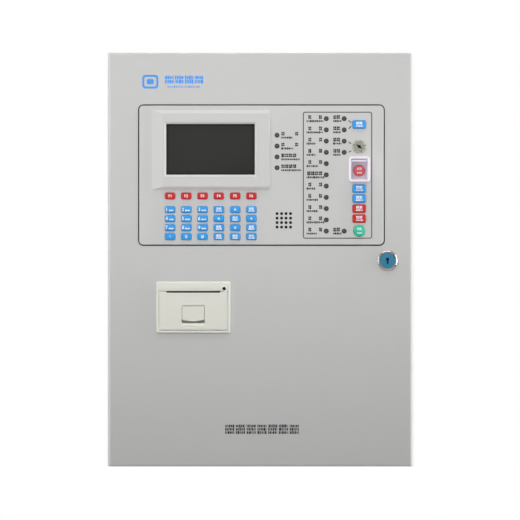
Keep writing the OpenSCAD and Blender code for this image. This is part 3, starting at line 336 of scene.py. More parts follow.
def eased(ease: float, steps: int = 4) -> np.ndarray:
    """Inset and setback along a quarter-round edge, from the side to the face.

    Formula: inset = ease * (1 - cos a) and setback = ease * (1 - sin a) for a from 0 to a quarter turn.
    """
    a = np.linspace(0, np.pi / 2, steps)
    return np.stack([ease * (1 - np.cos(a)), ease * (1 - np.sin(a))], -1)


class Shell:
    """Closed surfaces of one piece, gathered before they become one mesh."""

    def __init__(self) -> None:
        """Starts with nothing."""
        self.points: list[np.ndarray] = []
        self.faces: list[tuple[int, ...]] = []
        self.count = 0

    def add(self, points: np.ndarray, faces: list[tuple[int, ...]]) -> "Shell":
        """Adds points in millimetres and the faces between them.

        Args:
            points: Rows of x, y and z.
            faces: Point numbers of each face, counted from this block's first point.

        Returns:
            The shell itself.
        """
        self.faces += [tuple(i + self.count for i in f) for f in faces]
        self.points.append(np.asarray(points, float))
        self.count += len(points)
        return self

    def loft(self, rings: list[np.ndarray], closed: bool = False) -> "Shell":
        """Joins rings of equal length with quads.

        Formula: quad (i, j) joins points j and j + 1 of rings i and i + 1, with j taken round the ring.

        Args:
            rings: Rings in order along the surface.
            closed: True joins the last ring to the first; otherwise both ends are capped.

        Returns:
            The shell itself.
        """
        count, around = len(rings), len(rings[0])
        i = np.arange(count if closed else count - 1)[:, None]
        j = np.arange(around)[None, :]
        after_i, after_j = (i + 1) % count, (j + 1) % around
        quads = np.stack([i * around + j, i * around + after_j, after_i * around + after_j,
                          after_i * around + j], -1).reshape(-1, 4)
        faces = [tuple(q) for q in quads.tolist()]
        if not closed:
            faces.append(tuple(range(around)))
            faces.append(tuple(range(around * (count - 1), around * count))[::-1])
        return self.add(np.concatenate(rings), faces)

    def slab(self, x: float, z: float, width: float, height: float, radius: float, y0: float, y1: float,
             ease: float, crown: float = 0.0, draft: float = 0.0) -> "Shell":
        """Plate from depth y0 back to y1 with a quarter-round front edge.

        Formula: the sides widen by the draft towards the back. With a crown, rings shrink
        towards the middle while the depth follows a parabola up to the crown's height.

        Args:
            x: Centre across.
            z: Centre up.
            width: Width at the front edge's foot.
            height: Height there.
            radius: Corner radius.
            y0: Depth of the front face, or of the crown's top.
            y1: Depth of the rear face.
            ease: Radius of the front edge.
            crown: How far the middle stands in front of the edge.
            draft: Growth in width from the front to the back.

        Returns:
            The shell itself.
        """
        face = y0 + crown
        rings = [ring(x, z, width + draft, height + draft, radius + draft / 2, y1)]
        rings += [ring(x, z, width - 2 * i, height - 2 * i, radius - i, face + s) for i, s in eased(ease)]
        if crown:
            reach = min(width, height) / 2 - ease
            for t in np.linspace(0.2, 0.96, 6):
                i = ease + t * reach
                corner = max(radius - i, 0.2 * (1 - t) + 0.02)
                rise = face - crown * (1 - (1 - t) ** 2)
                rings.append(ring(x, z, width - 2 * i, height - 2 * i, corner, rise))
        return self.loft(rings)

    def frame(self, outer: Rim, inner: Rim, y0: float, y1: float, ease: float) -> "Shell":
        """Plate with one opening, both edges eased at the front.

        Formula: the profile runs up the outer side, over its quarter round, across the face, over
        the opening's quarter round and back down, and the last ring joins the first.

        Args:
            outer: x, z, width, height and corner radius of the outside.
            inner: The same of the opening.
            y0: Depth of the front face.
            y1: Depth of the rear face.
            ease: Radius of both front edges.

        Returns:
            The shell itself.
        """
        ox, oz, ow, oh, orad = outer
        ix, iz, iw, ih, irad = inner
        edge = eased(ease)
        rings = [ring(ox, oz, ow, oh, orad, y1)]
        rings += [ring(ox, oz, ow - 2 * i, oh - 2 * i, orad - i, y0 + s) for i, s in edge]
        rings += [ring(ix, iz, iw + 2 * i, ih + 2 * i, irad + i, y0 + s) for i, s in edge[::-1]]
        rings.append(ring(ix, iz, iw, ih, irad, y1))
        return self.loft(rings, closed=True)

    def lathe(self, x: float, z: float, profile: Profile, y: float = 0.0, steps: int = 12,
              closed: bool = False) -> "Shell":
        """Turned piece about the Y line through (x, z).

        Formula: each (radius, depth) of the profile becomes a circle of that radius, that far behind y.
        """
        return self.loft([ring(x, z, 2 * r, 2 * r, r, y + depth, steps) for r, depth in profile], closed)

    def block(self, low: Vec, high: Vec, ease: float) -> "Shell":
        """Box between two corners, with eased front edges."""
        width, height = high[0] - low[0], high[2] - low[2]
        return self.slab((low[0] + high[0]) / 2, (low[2] + high[2]) / 2, width, height,
                         min(width, height) * 0.08, low[1], high[1], min(ease, width / 4, height / 4))

    def tube(self, points: list[Vec], radius: float, sides: int = 8, count: int = 28) -> "Shell":
        """Round cable on a smooth curve.

        Formula: at each point two normals are the cross products of the tangent with a fixed
        slanted direction and of the tangent with that; a circle in their plane is swept along.

        Args:
            points: Points that the curve passes.
            radius: Radius.
            sides: Points round the section.
            count: Sections along the curve.

        Returns:
            The shell itself.
        """
        path = smooth_path(points, count)
        tangent = np.gradient(path, axis=0)
        tangent /= np.linalg.norm(tangent, axis=1, keepdims=True)
        across = np.cross(tangent, np.array([0.13, 0.97, 0.21]))
        across /= np.linalg.norm(across, axis=1, keepdims=True)
        over = np.cross(tangent, across)
        angle = np.linspace(0, 2 * np.pi, sides, endpoint=False)
        section = (across[:, None, :] * np.cos(angle)[None, :, None]
                   + over[:, None, :] * np.sin(angle)[None, :, None])
        return self.loft(list(path[:, None, :] + radius * section))

    def text(self, words: str, x: float, z: float, height: float, y: float) -> "Shell":
        """Flat characters that face the front, centred on (x, z).

        Args:
            words: A number or another generic key mark.
            x: Centre across.
            z: Centre up.
            height: Height of a capital.
            y: Depth of the characters' face.

        Returns:
            The shell itself.
        """
        curve = bpy.data.curves.new("glyphs", "FONT")
        curve.body = words
        curve.align_x, curve.align_y = "CENTER", "CENTER"
        curve.size = height / CAPITAL
        curve.offset = BOLDNESS * height
        curve.resolution_u = 3
        holder = bpy.data.objects.new("glyphs", curve)
        bpy.context.scene.collection.objects.link(holder)
        depsgraph = bpy.context.evaluated_depsgraph_get()
        mesh = bpy.data.meshes.new_from_object(holder.evaluated_get(depsgraph))
        co = np.empty(len(mesh.vertices) * 3)
        mesh.vertices.foreach_get("co", co)
        co = co.reshape(-1, 3)
        faces = [tuple(p.vertices) for p in mesh.polygons]
        bpy.data.objects.remove(holder)
        bpy.data.curves.remove(curve)
        bpy.data.meshes.remove(mesh)
        mid = (co.min(0) + co.max(0)) / 2
        flat = np.stack([x + co[:, 0] - mid[0], np.full(len(co), y), z + co[:, 1] - mid[1]], -1)
        return self.add(flat, faces)

    def strokes(self, bars: list[Box], y: float) -> "Shell":
        """Printed bars, each given as centre x, centre z, width and height."""
        for x, z, w, h in bars:
            self.slab(x, z, w, h, min(w, h) * 0.2, y - INK, y, min(w, h, INK) * 0.2)
        return self

    def wedge(self, x: float, z: float, size: float, turn: float, y: float) -> "Shell":
        """Flat arrowhead that points along an angle, measured from X against the clock."""
        tip = circle_y(x, z, size, y - INK, 3, turn)
        return self.loft([tip + [0, INK, 0], tip])


def smooth_path(points: list[Vec], count: int) -> np.ndarray:
    """Curve through given points.

    Formula: Catmull-Rom, which is the cubic through two neighbours whose end slopes are half the
    difference between the points on either side of each.

    Args:
        points: Points that the curve passes, in millimetres.
        count: Points of the result.

    Returns:
        Array of count rows.
    """
    p = np.asarray(points, float)
    p = np.concatenate([[2 * p[0] - p[1]], p, [2 * p[-1] - p[-2]]])
    t = np.linspace(0, len(points) - 1 - 1e-9, count)
    k = t.astype(int)
    u = (t - k)[:, None]
    a, b, c, d = p[k], p[k + 1], p[k + 2], p[k + 3]
    square, cube = 2 * a - 5 * b + 4 * c - d, 3 * b - a - 3 * c + d
    return 0.5 * (2 * b + (c - a) * u + square * u ** 2 + cube * u ** 3)


def make_piece(name: str, shell: Shell, finish: Finish, body: str,
               stands_for: tuple[str, ...] = (), blend: tuple[str, Vec, Vec] | None = None) -> None:
    """Turns a shell into an object at the origin that rides on a body.

    Args:
        name: Name of the piece.
        shell: Its surfaces.
        finish: Its finish.
        body: The body that it rides on.
        stands_for: CAD nodes that it replaces.
        blend: A second body and two points, in metres. Only whether it is given is read: then the piece's
            place is baked into its mesh and it rides on no body.
    """
    mesh = bpy.data.meshes.new(name)
    mesh.from_pydata((np.concatenate(shell.points) * MM).tolist(), [], shell.faces)
    work = bmesh.new()
    work.from_mesh(mesh)
    bmesh.ops.remove_doubles(work, verts=work.verts, dist=WELD)
    bmesh.ops.recalc_face_normals(work, faces=work.faces)
    work.to_mesh(mesh)
    work.free()
    mesh.shade_smooth()
    mesh.set_sharp_from_angle(angle=SHARP)
    mesh.materials.append(finish.make())
    piece = bpy.data.objects.new(name, mesh)
    bpy.context.scene.collection.objects.link(piece)
    if blend:
        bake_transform(piece)
    else:
        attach(piece, body)
    if stands_for:
        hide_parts(*stands_for)
    LOG.info("%s: %d faces on %s, %s", name, len(mesh.polygons), body, finish.name)


def make_pieces(body: str, slot: str, stands_for: tuple[str, ...] = (),
                **pieces: tuple[Shell, Finish]) -> None:
    """Makes several named pieces that ride on one body and replace the same nodes."""
    for name, (shell, finish) in pieces.items():
        make_piece(name, shell, finish, body, stands_for)


@dataclass(frozen=True)
class Extent:
    """A node's box in millimetres."""

    low: np.ndarray
    high: np.ndarray

    @classmethod
    def of(cls, node: str) -> "Extent":
        """Reads the box of a CAD node."""
        low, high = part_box(node)
        return cls(np.array(low) / MM, np.array(high) / MM)

    @property
    def mid(self) -> np.ndarray:
        """The box's centre."""
        return (self.low + self.high) / 2

    @property
    def size(self) -> np.ndarray:
        """The box's three sizes."""
        return self.high - self.low


# ---- Printed bars ----


def greeked(x0: float, x1: float, z: float, height: float, seed: int, rows: int = 1,
            gap: float = 0.3) -> list[Box]:
    """Rows of plain dashes of uneven length that stand in for a caption.

    Formula: the width left between the gaps is shared out in proportion to random weights.

    Args:
        x0: Left end.
        x1: Right end.
        z: Centre height.
        height: Height of all rows together.
        seed: Seed of the dashes' widths.
        rows: Number of rows.
        gap: Space between two dashes.

    Returns:
        Bars as centre x, centre z, width and height.
    """
    rng = np.random.default_rng(seed)
    bar_h = (height - gap * (rows - 1)) / rows
    bars = []
    for row in range(rows):
        weight = rng.uniform(0.4, 2.0, max(2, round((x1 - x0) / 2.0)))
        width = weight / weight.sum() * (x1 - x0 - gap * (len(weight) - 1))
        start = x0 + np.concatenate([[0], np.cumsum(width + gap)[:-1]])
        up = z + height / 2 - bar_h / 2 - row * (bar_h + gap)
        tall = bar_h * rng.uniform(0.75, 1.15, len(width))
        bars += [(float(a + w / 2), up, float(w), float(h)) for a, w, h in zip(start, width, tall)]
    return bars


def block_words(x0: float, x1: float, z: float, height: float, seed: int, rows: int = 2,
                share: float = 0.14) -> list[Box]:
    """Square groups of dashes set side by side, with a share of each pitch left free."""
    count = max(1, round((x1 - x0) / (1.15 * height)))
    pitch = (x1 - x0) / count
    bars = []
    for i in range(count):
        left = x0 + (i + share / 2) * pitch
        bars += greeked(left, left + (1 - share) * pitch, z, height, seed + i, rows, 0.05 * height)
    return bars


@dataclass(frozen=True)
class Captions:
    """Bars beside one column of indicators, measured from each lens."""

    words: Profile  # left and right ends of the single words in a row
    phrase: Pair  # ends of the long caption that some rows have instead
    phrase_rows: tuple[int, ...]
    height: float
    seed: int
    seed_step: int
    fine_left: float  # the fine line under the bold bars
    fine_z: float
    fine_h: float
    fine_seed: int
    runs: tuple[float, ...]  # length of each row's fine line

    def add(self, bold: Shell, fine: Shell, places: list[Pair], y: float) -> None:
        """Adds the bars of every row at depth y."""
        for i, (x, z) in enumerate(places):
            for a, b in (self.phrase,) if i in self.phrase_rows else self.words:
                seed = self.seed + self.seed_step * i
                bold.strokes(block_words(x + a, x + b, z + 1.9, self.height, seed), y)
            left = x + self.fine_left
            fine.strokes(greeked(left, left + self.runs[i], z + self.fine_z, self.fine_h,
                                 self.fine_seed + i, gap=0.5), y)


# ---- Sub-assemblies ----


@dataclass
class DressedFrame:
    """Finishes of the CAD nodes. A node that is not listed is a key."""

    finishes: dict[str, Finish] = field(default_factory=lambda: {
        "cabinet": PAINT, "door": PAINT, "mounting_plate": ZINC, "main_board": BOARD,
        "power_supply": SUPPLY, "batteries": CASE, "cable_grommets": RUBBER, "hinge_pins": BRIGHT_STEEL,
        "screws": BRIGHT_STEEL, "fascia": PANEL, "display_module": GLASS, "control_board": BOARD,
        "speaker": CONE, "printer_door": PRINTER_SHELL, "printer_latch": PRINTER_SHELL,
        "key_switch_plug": SWITCH_STEEL, "door_lock_plug": LOCK_BLUE, "platen_roller": ROLLER,
        "lock_barrels": CHROME, "indicator_lenses": LENS, "printer_frame": PRINTER_SHELL,
        "reset_guard_frame": GUARD, "reset_guard_cover": GUARD_CLEAR})

    def build(self) -> None:
        """Puts each node's finish on it."""
        for name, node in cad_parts.items():
            finish = self.finishes.get(name, BLUE_KEY)
            node.data.materials.clear()
            node.data.materials.append(finish.make())
            LOG.info("%s: carried over, %s", name, finish.name)


@dataclass
class DoorMarks:
    """Printed marks on the door: a plain badge with caption bars, and a row of title blocks."""

    badge: Box = (-137.0, 221.0, 20.0, 17.0)  # centre x and z, width, height
    badge_line: float = 2.5
    caption: Pair = (-119.5, -70.5)  # left and right ends
    title_left: float = -45.1
    title_z: float = -210.6
    title_pitch: float = 13.35
    title_h: float = 11.6
    title_count: int = 7

    def build(self) -> None:
        """Prints the badge and the title on the door's front."""
        y = Extent.of("door").low[1]
        x, z, w, h = self.badge
        inner_w, inner_h = w - 2 * self.badge_line, h - 2 * self.badge_line
        badge = Shell().frame((x, z, w, h, 4), (x, z, inner_w, inner_h, 2.4), y - INK, y, INK_EASE)
        badge.slab(x, z, 8.5, 6.5, 1.6, y - INK, y, INK_EASE)
        left, right = self.caption
        badge.strokes(block_words(left, right, z + 2.6, 9.6, 5), y)
        badge.strokes(greeked(left + 4, right - 5, z - 6.4, 2.2, 6, gap=0.9), y)
        make_piece("door_badge", badge, BLUE_INK, "door")
        title_right = self.title_left + self.title_count * self.title_pitch
        words = block_words(self.title_left, title_right, self.title_z, self.title_h, 30, 3, 0.16)
        title = Shell().strokes(words, y)
        make_piece("title_blocks", title, BLACK_INK, "door")


@dataclass
class OperatorPanel:
    """Print, dark groove strip, display window and indicators, placed from the panel's centre."""

    centre_x: float = 1.0
    centre_z: float = 0.0
    size: Vec = (303.4, 172.7, 5.2)  # width, height, corner radius
    groove: float = 1.6
    window: Box = (-63.2, 31.9, 109.9, 63.0)  # centre x and z, width, height
    left_column: Vec = (19.4, 49.5, 13.47)  # x, z of the top lens, pitch
    status_column: Vec = (80.5, 70.1, 13.96)
    command_x: float = 102.7
    command_rows: tuple[int, ...] = (0, 1, 2, 3, 10)
    status_box: Box = (51.4, 137.5, -78.9, 78.7)  # left, right, bottom, top
    sound: Pair = (27.75, -56.2)
    sound_pitch: float = 5.58
    # Heights of both ends of each link dash above its lens, then radii and depths of a lens
    link_rises: Profile = ((-2.0, -5.1), (1.2, 4.7), (-0.8, -3.4), (0.2, 2.0))
    collar: Profile = ((3.05, 0.4), (3.05, -0.15), (2.8, -0.35), (2.2, -0.35), (1.95, -0.1), (1.95, 0.4))
    dome: Profile = ((1.95, 2.2), (1.95, -0.1), (1.5, -0.42), (0.9, -0.6), (0.3, -0.66))
    left_print: Captions = Captions(((5.0, 9.4), (22.0, 26.4)), (5.0, 24.0), (2, 3), 4.4, 20, 9,
                                    5.0, -3.0, 2.4, 30, (14.0, 15.0, 23.0, 25.0))
    status_print: Captions = Captions(((-22.6, -18.4), (-9.4, -5.0)), (-24.0, -4.8), (5,), 4.7, 40, 7,
                                      -24.5, -3.1, 2.5, 60,
                                      (21.0, 20.0, 11.0, 11.0, 14.0, 22.0, 10.5, 14.0, 14.0, 22.0, 12.5))
    command_print: Captions = Captions(((-13.8, -4.9),), (-13.8, -4.9), (), 4.7, 80, 5,
                                       -13.8, -3.0, 2.5, 90, (10.4, 9.4, 10.4, 9.4, 10.4))

    def _column(self, column: Vec, rows: tuple[int, ...]) -> list[Pair]:
        """Centres of the lenses in some rows of a column."""
        x, z, pitch = column
        return [(self.centre_x + x, self.centre_z + z - i * pitch) for i in rows]

    def build(self) -> None:
        """Makes the window, the lenses, the dark groove strip and the printed marks."""
        fascia = Extent.of("fascia")
        front = fascia.low[1] + SURROUND
        self.centre_z = float(fascia.mid[2])
        left = self._column(self.left_column, tuple(range(4)))
        status = self._column(self.status_column, tuple(range(11)))
        command = self._column((self.command_x, *self.status_column[1:]), self.command_rows)
        self._window(front)
        self._lenses(front, left + status + command)
        self._groove_strip()
        self._outline(front)
        bold, fine = Shell(), Shell()
        for captions, places in ((self.left_print, left), (self.status_print, status),
                                 (self.command_print, command)):
            captions.add(bold, fine, places, front)
        make_pieces("door", "panel_plastic", captions=(bold, BLACK_INK), fine_captions=(fine, GREY_INK))
        self._links(front, command)
        self._sound(front)

    def _window(self, front: float) -> None:
        """Glass with a dark border behind the surround."""
        x, z = self.centre_x + self.window[0], self.centre_z + self.window[1]
        w, h = self.window[2:]
        y = front - 1.5
        border = Shell().frame((x, z, w - FIT, h - FIT, 0.6), (x, z, w - 5.5, h - 5.0, 1.0),
                               y - 0.12, y + 0.02, 0.04)
        pane = Shell().slab(x, z, w - 5.6, h - 5.1, 0.9, y - 0.08, y + 0.02, 0.03)
        make_pieces("door", "display", display_border=(border, GLASS_EDGE), display_pane=(pane, GLASS))

    def _lenses(self, front: float, places: list[Pair]) -> None:
        """A dark collar and a paler domed lens at each indicator. The collar is a black holder whose dark
        tone also paints the shade of the gap round the lens.
        """
        collars, domes = Shell(), Shell()
        for x, z in places:
            collars.lathe(x, z, self.collar, front, 5, True)
            domes.lathe(x, z, self.dome, front, 5)
        make_pieces("door", "lens", ("indicator_lenses",), lens_collars=(collars, LENS_RING),
                    lens_domes=(domes, LENS))

    def _groove_strip(self) -> None:
        """Dark strip at the bottom of the groove round the panel."""
        w, h, r = self.size
        cx, cz, g = self.centre_x, self.centre_z, self.groove
        y = Extent.of("door").low[1]
        seal = Shell().frame((cx, cz, w + 2 * g - FIT, h + 2 * g - FIT, r + g),
                             (cx, cz, w + FIT, h + FIT, r), y + 0.55, y + 1.45, 0.2)
        make_piece("panel_groove_strip", seal, GROOVE_STRIP, "door")

    def _outline(self, y: float) -> None:
        """Printed outline of the status field."""
        left, right, low, top = self.status_box
        x, z = self.centre_x + (left + right) / 2, self.centre_z + (low + top) / 2
        w, h = right - left, top - low
        line = Shell().frame((x, z, w - FIT, h - FIT, 2.9), (x, z, w - 2.3, h - 2.3, 1.9),
                             y + 0.1, y + 0.28, 0.05)
        make_piece("status_outline", line, OUTLINE_INK, "door")

    def _links(self, y: float, lenses: list[Pair]) -> None:
        """Short slanted dashes from lens pairs towards what they belong to."""
        links = Shell()
        for (x, z), (start, end) in zip(lenses, self.link_rises):
            a, b = np.array([x + 5.6, y, z + start]), np.array([x + 8.6, y, z + end])
            side = np.array([-(b - a)[2], 0, (b - a)[0]]) / np.linalg.norm(b - a) * 0.55
            face = np.stack([a - side, b - side, b + side, a + side])
            links.loft([face, face - [0, INK, 0]])
        make_piece("link_dashes", links, BLACK_INK, "door")

    def _sound(self, y: float) -> None:
        """Painted shade of each sound hole: a dark lining on the hole's wall and a dark rim round its edge.
        """
        mesh = Shell()
        steps = (np.arange(4) - 1.5) * self.sound_pitch
        for x in self.centre_x + self.sound[0] + steps:
            for z in self.centre_z + self.sound[1] + steps:
                mesh.lathe(x, z, ((1.45, 1.2), (1.45, 0), (1.85, 0), (1.85, -0.03)), y, 4)
        make_piece("sound_hole_shade", mesh, DARK_SHADE_AND_LAMP, "door")


@dataclass
class Keys:
    """Keycaps and their legends. Each rides with its own key."""

    rim: float = 0.8
    rim_depth: float = 2.2
    crown: Pair = (0.2, 0.9)  # of rectangular caps, of round ones

    def build(self) -> None:
        """Makes every keycap with its legend. The key switch's plug is no key."""
        for name in sorted(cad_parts):
            if name.startswith(("key_", "button_")) and name != "key_switch_plug":
                self._cap(name)

    def _finish(self, name: str) -> tuple[Finish, str]:
        """The finish and the material slot of a key."""
        if name == "button_reset":
            return RESET_KEY, "key_red"
        if name in ("button_isolate", "button_stop") or name[:5] == "key_f" and name[5:].isdigit():
            return RED_KEY, "key_red"
        if name == "button_start":
            return GREEN_KEY, "key_green"
        return BLUE_KEY, "key_blue"

    def _cap(self, name: str) -> None:
        """One keycap: a drafted, crowned body on a flat rim."""
        node = Extent.of(name)
        x, z = float(node.mid[0]), float(node.mid[2])
        w, h = float(node.size[0]) - 2 * self.rim, float(node.size[2]) - 2 * self.rim
        top, rim_y = float(node.low[1]), node.high[1] - self.rim_depth
        round_cap = abs(w - h) < 0.1
        radius = w / 2 if round_cap else (2.4 if w > 14 else 2.0)
        cap = Shell().slab(x, z, w - 0.3, h - 0.3, radius - 0.1, top, rim_y, 1.6 if round_cap else 1.0,
                           self.crown[round_cap], 0.3)
        cap.slab(x, z, w + 2 * self.rim, h + 2 * self.rim, radius + self.rim, rim_y, rim_y + 1.2, 0.2)
        cap.lathe(x, z, ((2.2, 1.1), (2.2, 2.2)), rim_y, 4)
        finish, slot = self._finish(name)
        make_piece(name + "_cap", cap, finish, name, (name,))
        legend = Shell()
        self._legend(legend, name, x, z, w, h, top - 0.02)
        make_piece(name + "_legend", legend, LEGEND, name)

    def _legend(self, legend: Shell, name: str, x: float, z: float, w: float, h: float, y: float) -> None:
        """The mark on a key: a number, an arrow or plain bars."""
        mark = name.split("_", 1)[1]
        arrows = {"up": math.pi / 2, "down": -math.pi / 2, "left": math.pi, "right": 0.0}
        centred = {"star": ("*", 3.4), "0": ("0", 4.0), "hash": ("#", 4.0)}
        if mark[0] == "f" and mark[1:].isdigit():
            legend.text("F" + mark[1:], x, z, 3.4, y)
        elif mark in centred:
            legend.text(centred[mark][0], x, z, centred[mark][1], y)
        elif mark.isdigit():
            legend.text(mark, x - 0.33 * w, z + 0.2, 4.2, y)
            legend.strokes(greeked(x - 0.1 * w, x + 0.34 * w, z - 1.1, 1.8, ord(mark)), y + INK)
        elif mark in arrows:
            legend.wedge(x, z, 1.9, arrows[mark], y + INK)
        elif name.startswith("button"):
            up = 0.16 * h
            reach, tall = (0.2 * w, 0.21 * h) if abs(w - h) < 0.1 else (0.24 * w, 0.32 * h)
            legend.strokes(block_words(x - reach, x + reach, z + up, tall, len(name)), y + INK)
            fine = greeked(x - reach, x + 1.1 * reach, z - 1.2 * up, 0.5 * tall, len(name) + 9)
            legend.strokes(fine, y + INK)
        else:
            words = block_words(x - 0.26 * w, x + 0.26 * w, z + 0.14 * h, 0.34 * h, len(name), 2, 0.2)
            fine = greeked(x - 0.28 * w, x + 0.3 * w, z - 0.22 * h, 0.19 * h, len(name) + 9)
            legend.strokes(words + fine, y + INK)


@dataclass
class ResetGuard:
    """Milky frame and clear hinged shield over the reset button."""

    rim: float = 3.0
    radius: float = 3.4
    well: float = 15.6  # round hole for the button
    axis_inset: float = 1.2  # shield's top to its hinge axis

    def build(self) -> None:
        """Makes the frame, its floor in a darker tone as painted shade, the shield and the shield's hinge
        bar.
        """
        node, button = Extent.of("reset_guard_frame"), Extent.of("button_reset")
        x, _, z = node.mid
        w, _, h = node.size
        y0, y1 = node.low[1], node.high[1]
        in_w, in_h = w - 2 * self.rim, h - 2 * self.rim
        rim = Shell().frame((x, z, w, h, self.radius), (x, z, in_w, in_h, 1.2), y0, y1, 0.7)
        make_piece("reset_guard_rim", rim, GUARD, "door", ("reset_guard_frame",))
        well = (button.mid[0], button.mid[2], self.well, self.well, self.well / 2)
        # The floor is painted darker than the rim as shade of the recess under the shield.
        base = Shell().frame((x, z, in_w - FIT, in_h - FIT, 1.1), well, y1 - 0.6, y1, 0.1)
        make_piece("reset_guard_base", base, GUARD_BASE_SHADE, "door")
        cover = Extent.of("reset_guard_cover")
        x, y = cover.mid[0], cover.low[1]
        w, h = cover.size[0] - 3.0, cover.size[2] - self.axis_inset
        axis_z = cover.high[2] - self.axis_inset
        pane = Shell().slab(x, axis_z - h / 2, w, h, 1.0, y, y + 1.4, 0.4)
        bar = Shell().slab(x, axis_z, w, 2.2, 1.0, y + 0.05, y + 2.4, 0.8)
        make_pieces("reset_cover", "clear_cover", ("reset_guard_cover",),
                    reset_guard_shield=(pane, GUARD_CLEAR), reset_guard_hinge_bar=(bar, GUARD))


@dataclass
class Locks:
    """Rings, plugs, nuts and cam of the door lock and of the key switch, and painted shade in their keyways.
    """

    face_r: float = 9.3
    plug_r: float = 6.0
    # Radii and depths of the barrel behind the door's front, and of the turning face behind its own
    ring: Profile = ((9.0, 23.0), (9.0, 0), (12.8, 0), (12.8, -1.6), (12.3, -2.8), (11.4, -3.75), (10.6, -4),
                     (9.9, -3.85), (9.36, -3.5), (9.36, -2.3), (6.06, -2.3), (6.06, 23.0))
    disc: Profile = ((6.0, 9), (6.0, 1.5), (9.3, 1.5), (9.3, 0.4), (9.0, 0.05), (8.6, 0))
    face_y: float = 4.0
    slot_turn: float = math.radians(-35)
    slot: Pair = (3.8, 0.75)  # half its length and width

    def build(self) -> None:
        """Makes the door lock, then the key switch."""
        plug = Extent.of("door_lock_plug")
        x, z = plug.mid[0], plug.high[2] - self.face_r
        front = Extent.of("door").low[1]
        self._door_lock(x, z, front)
        self._switch_ring()
        face = front - self.face_y
        disc = Shell().lathe(x, z, self.disc, face)
        make_piece("door_lock_disc", disc, LOCK_BLUE, "door_lock", ("door_lock_plug",))
        self._cam(x, z, face, plug)
        self._keyway(x, z, face)
        self._slot()

    def _door_lock(self, x: float, z: float, front: float) -> None:
        """Ring and barrel of the door lock, with the nut behind the door."""
        barrel = Shell().lathe(x, z, self.ring, front, 16, True)
        barrel.loft([circle_y(x, z, 13, front + y, 6) for y in (1.5, 5.5)])
        make_piece("door_lock_ring", barrel, CHROME, "door", ("lock_barrels",))

    def _switch_ring(self) -> None:
        """Ring and barrel of the key switch."""
        switch = Extent.of("key_switch_plug")
        top, end, bore = Extent.of("fascia").low[1] + SURROUND, switch.high[1] + 3.2, self.plug_r + 0.06
        collar = Shell().lathe(switch.mid[0], switch.mid[2], (
            (7.5, end), (7.5, top), (8.55, top), (8.55, top - 2.0), (8.1, top - 2.8), (7.4, top - 3.0),
            (self.plug_r + 0.3, top - 2.9), (bore, top - 2.5), (bore, end - 3)), 0, 12, True)
        make_piece("key_switch_ring", collar, SWITCH_RING, "door", ("lock_barrels",))

    def _cam(self, x: float, z: float, face: float, plug: Extent) -> None:
        """Plug behind the turning face, with the cam, its collar and its nut."""
        end = plug.high[1] - 3.0
        cam = Shell().lathe(x, z, ((self.plug_r, end - 2), (self.plug_r, face + 8.9)), 0, 8)
        cam.lathe(x, z, ((7.0, 0), (7.0, -2)), end, 8)
        cam.slab(x, (z + plug.low[2]) / 2, 12, z - plug.low[2], 1.2, end - 2, end, 0.3)
        cam.loft([circle_y(x, z, 5, y, 6) for y in (end - 0.1, end + 2.8)])
        cam.lathe(x, z, ((2.4, 3.0), (2.4, 2.7)), end, 5)
        make_piece("door_lock_cam", cam, ZINC, "door_lock", ("door_lock_plug",))

    def _keyway(self, x: float, z: float, face: float) -> None:
        """Painted shade of the door lock's keyhole: a dark lining in the hole and a dark rim round it on the
        face.
        """
        hole = Shell().lathe(x, z + 1.5, ((1.6, 6), (1.6, 0.25)), face, 5)
        hole.block((x - 0.8, face + 0.25, z - 4.15), (x + 0.8, face + 6, z + 1), 0.05)
        hole.lathe(x, z + 1.5, ((2.1, 0), (2.1, -0.03)), face, 5)
        hole.block((x - 1.1, face - 0.03, z - 4.3), (x + 1.1, face, z + 1), 0.01)
        make_piece("door_lock_keyway_shade", hole, DARK_SHADE_AND_LAMP, "door_lock")

    def _slot(self) -> None:
        """Painted shade of the key switch's keyway: a dark lining in the slanted slot and a dark round
        middle on the face.
        """
        switch = Extent.of("key_switch_plug")
        x, face, z = switch.mid[0], switch.low[1], switch.mid[2]
        reach, half = self.slot
        along = np.array([math.cos(self.slot_turn), 0, math.sin(self.slot_turn)])
        across = np.array([-along[2], 0, along[0]])
        corners = ((-1, -1), (1, -1), (1, 1), (-1, 1))
        flat = np.stack([a * reach * along + b * half * across for a, b in corners])
        flat += [x, 0, z]
        slot = Shell().loft([flat + [0, face + 6.5, 0], flat + [0, face + 0.2, 0]])
        slot.lathe(x, z, ((2.0, 0), (2.0, -0.04)), face, 5)
        make_piece("key_switch_keyway_shade", slot, DARK_SHADE_AND_LAMP, "key_switch")


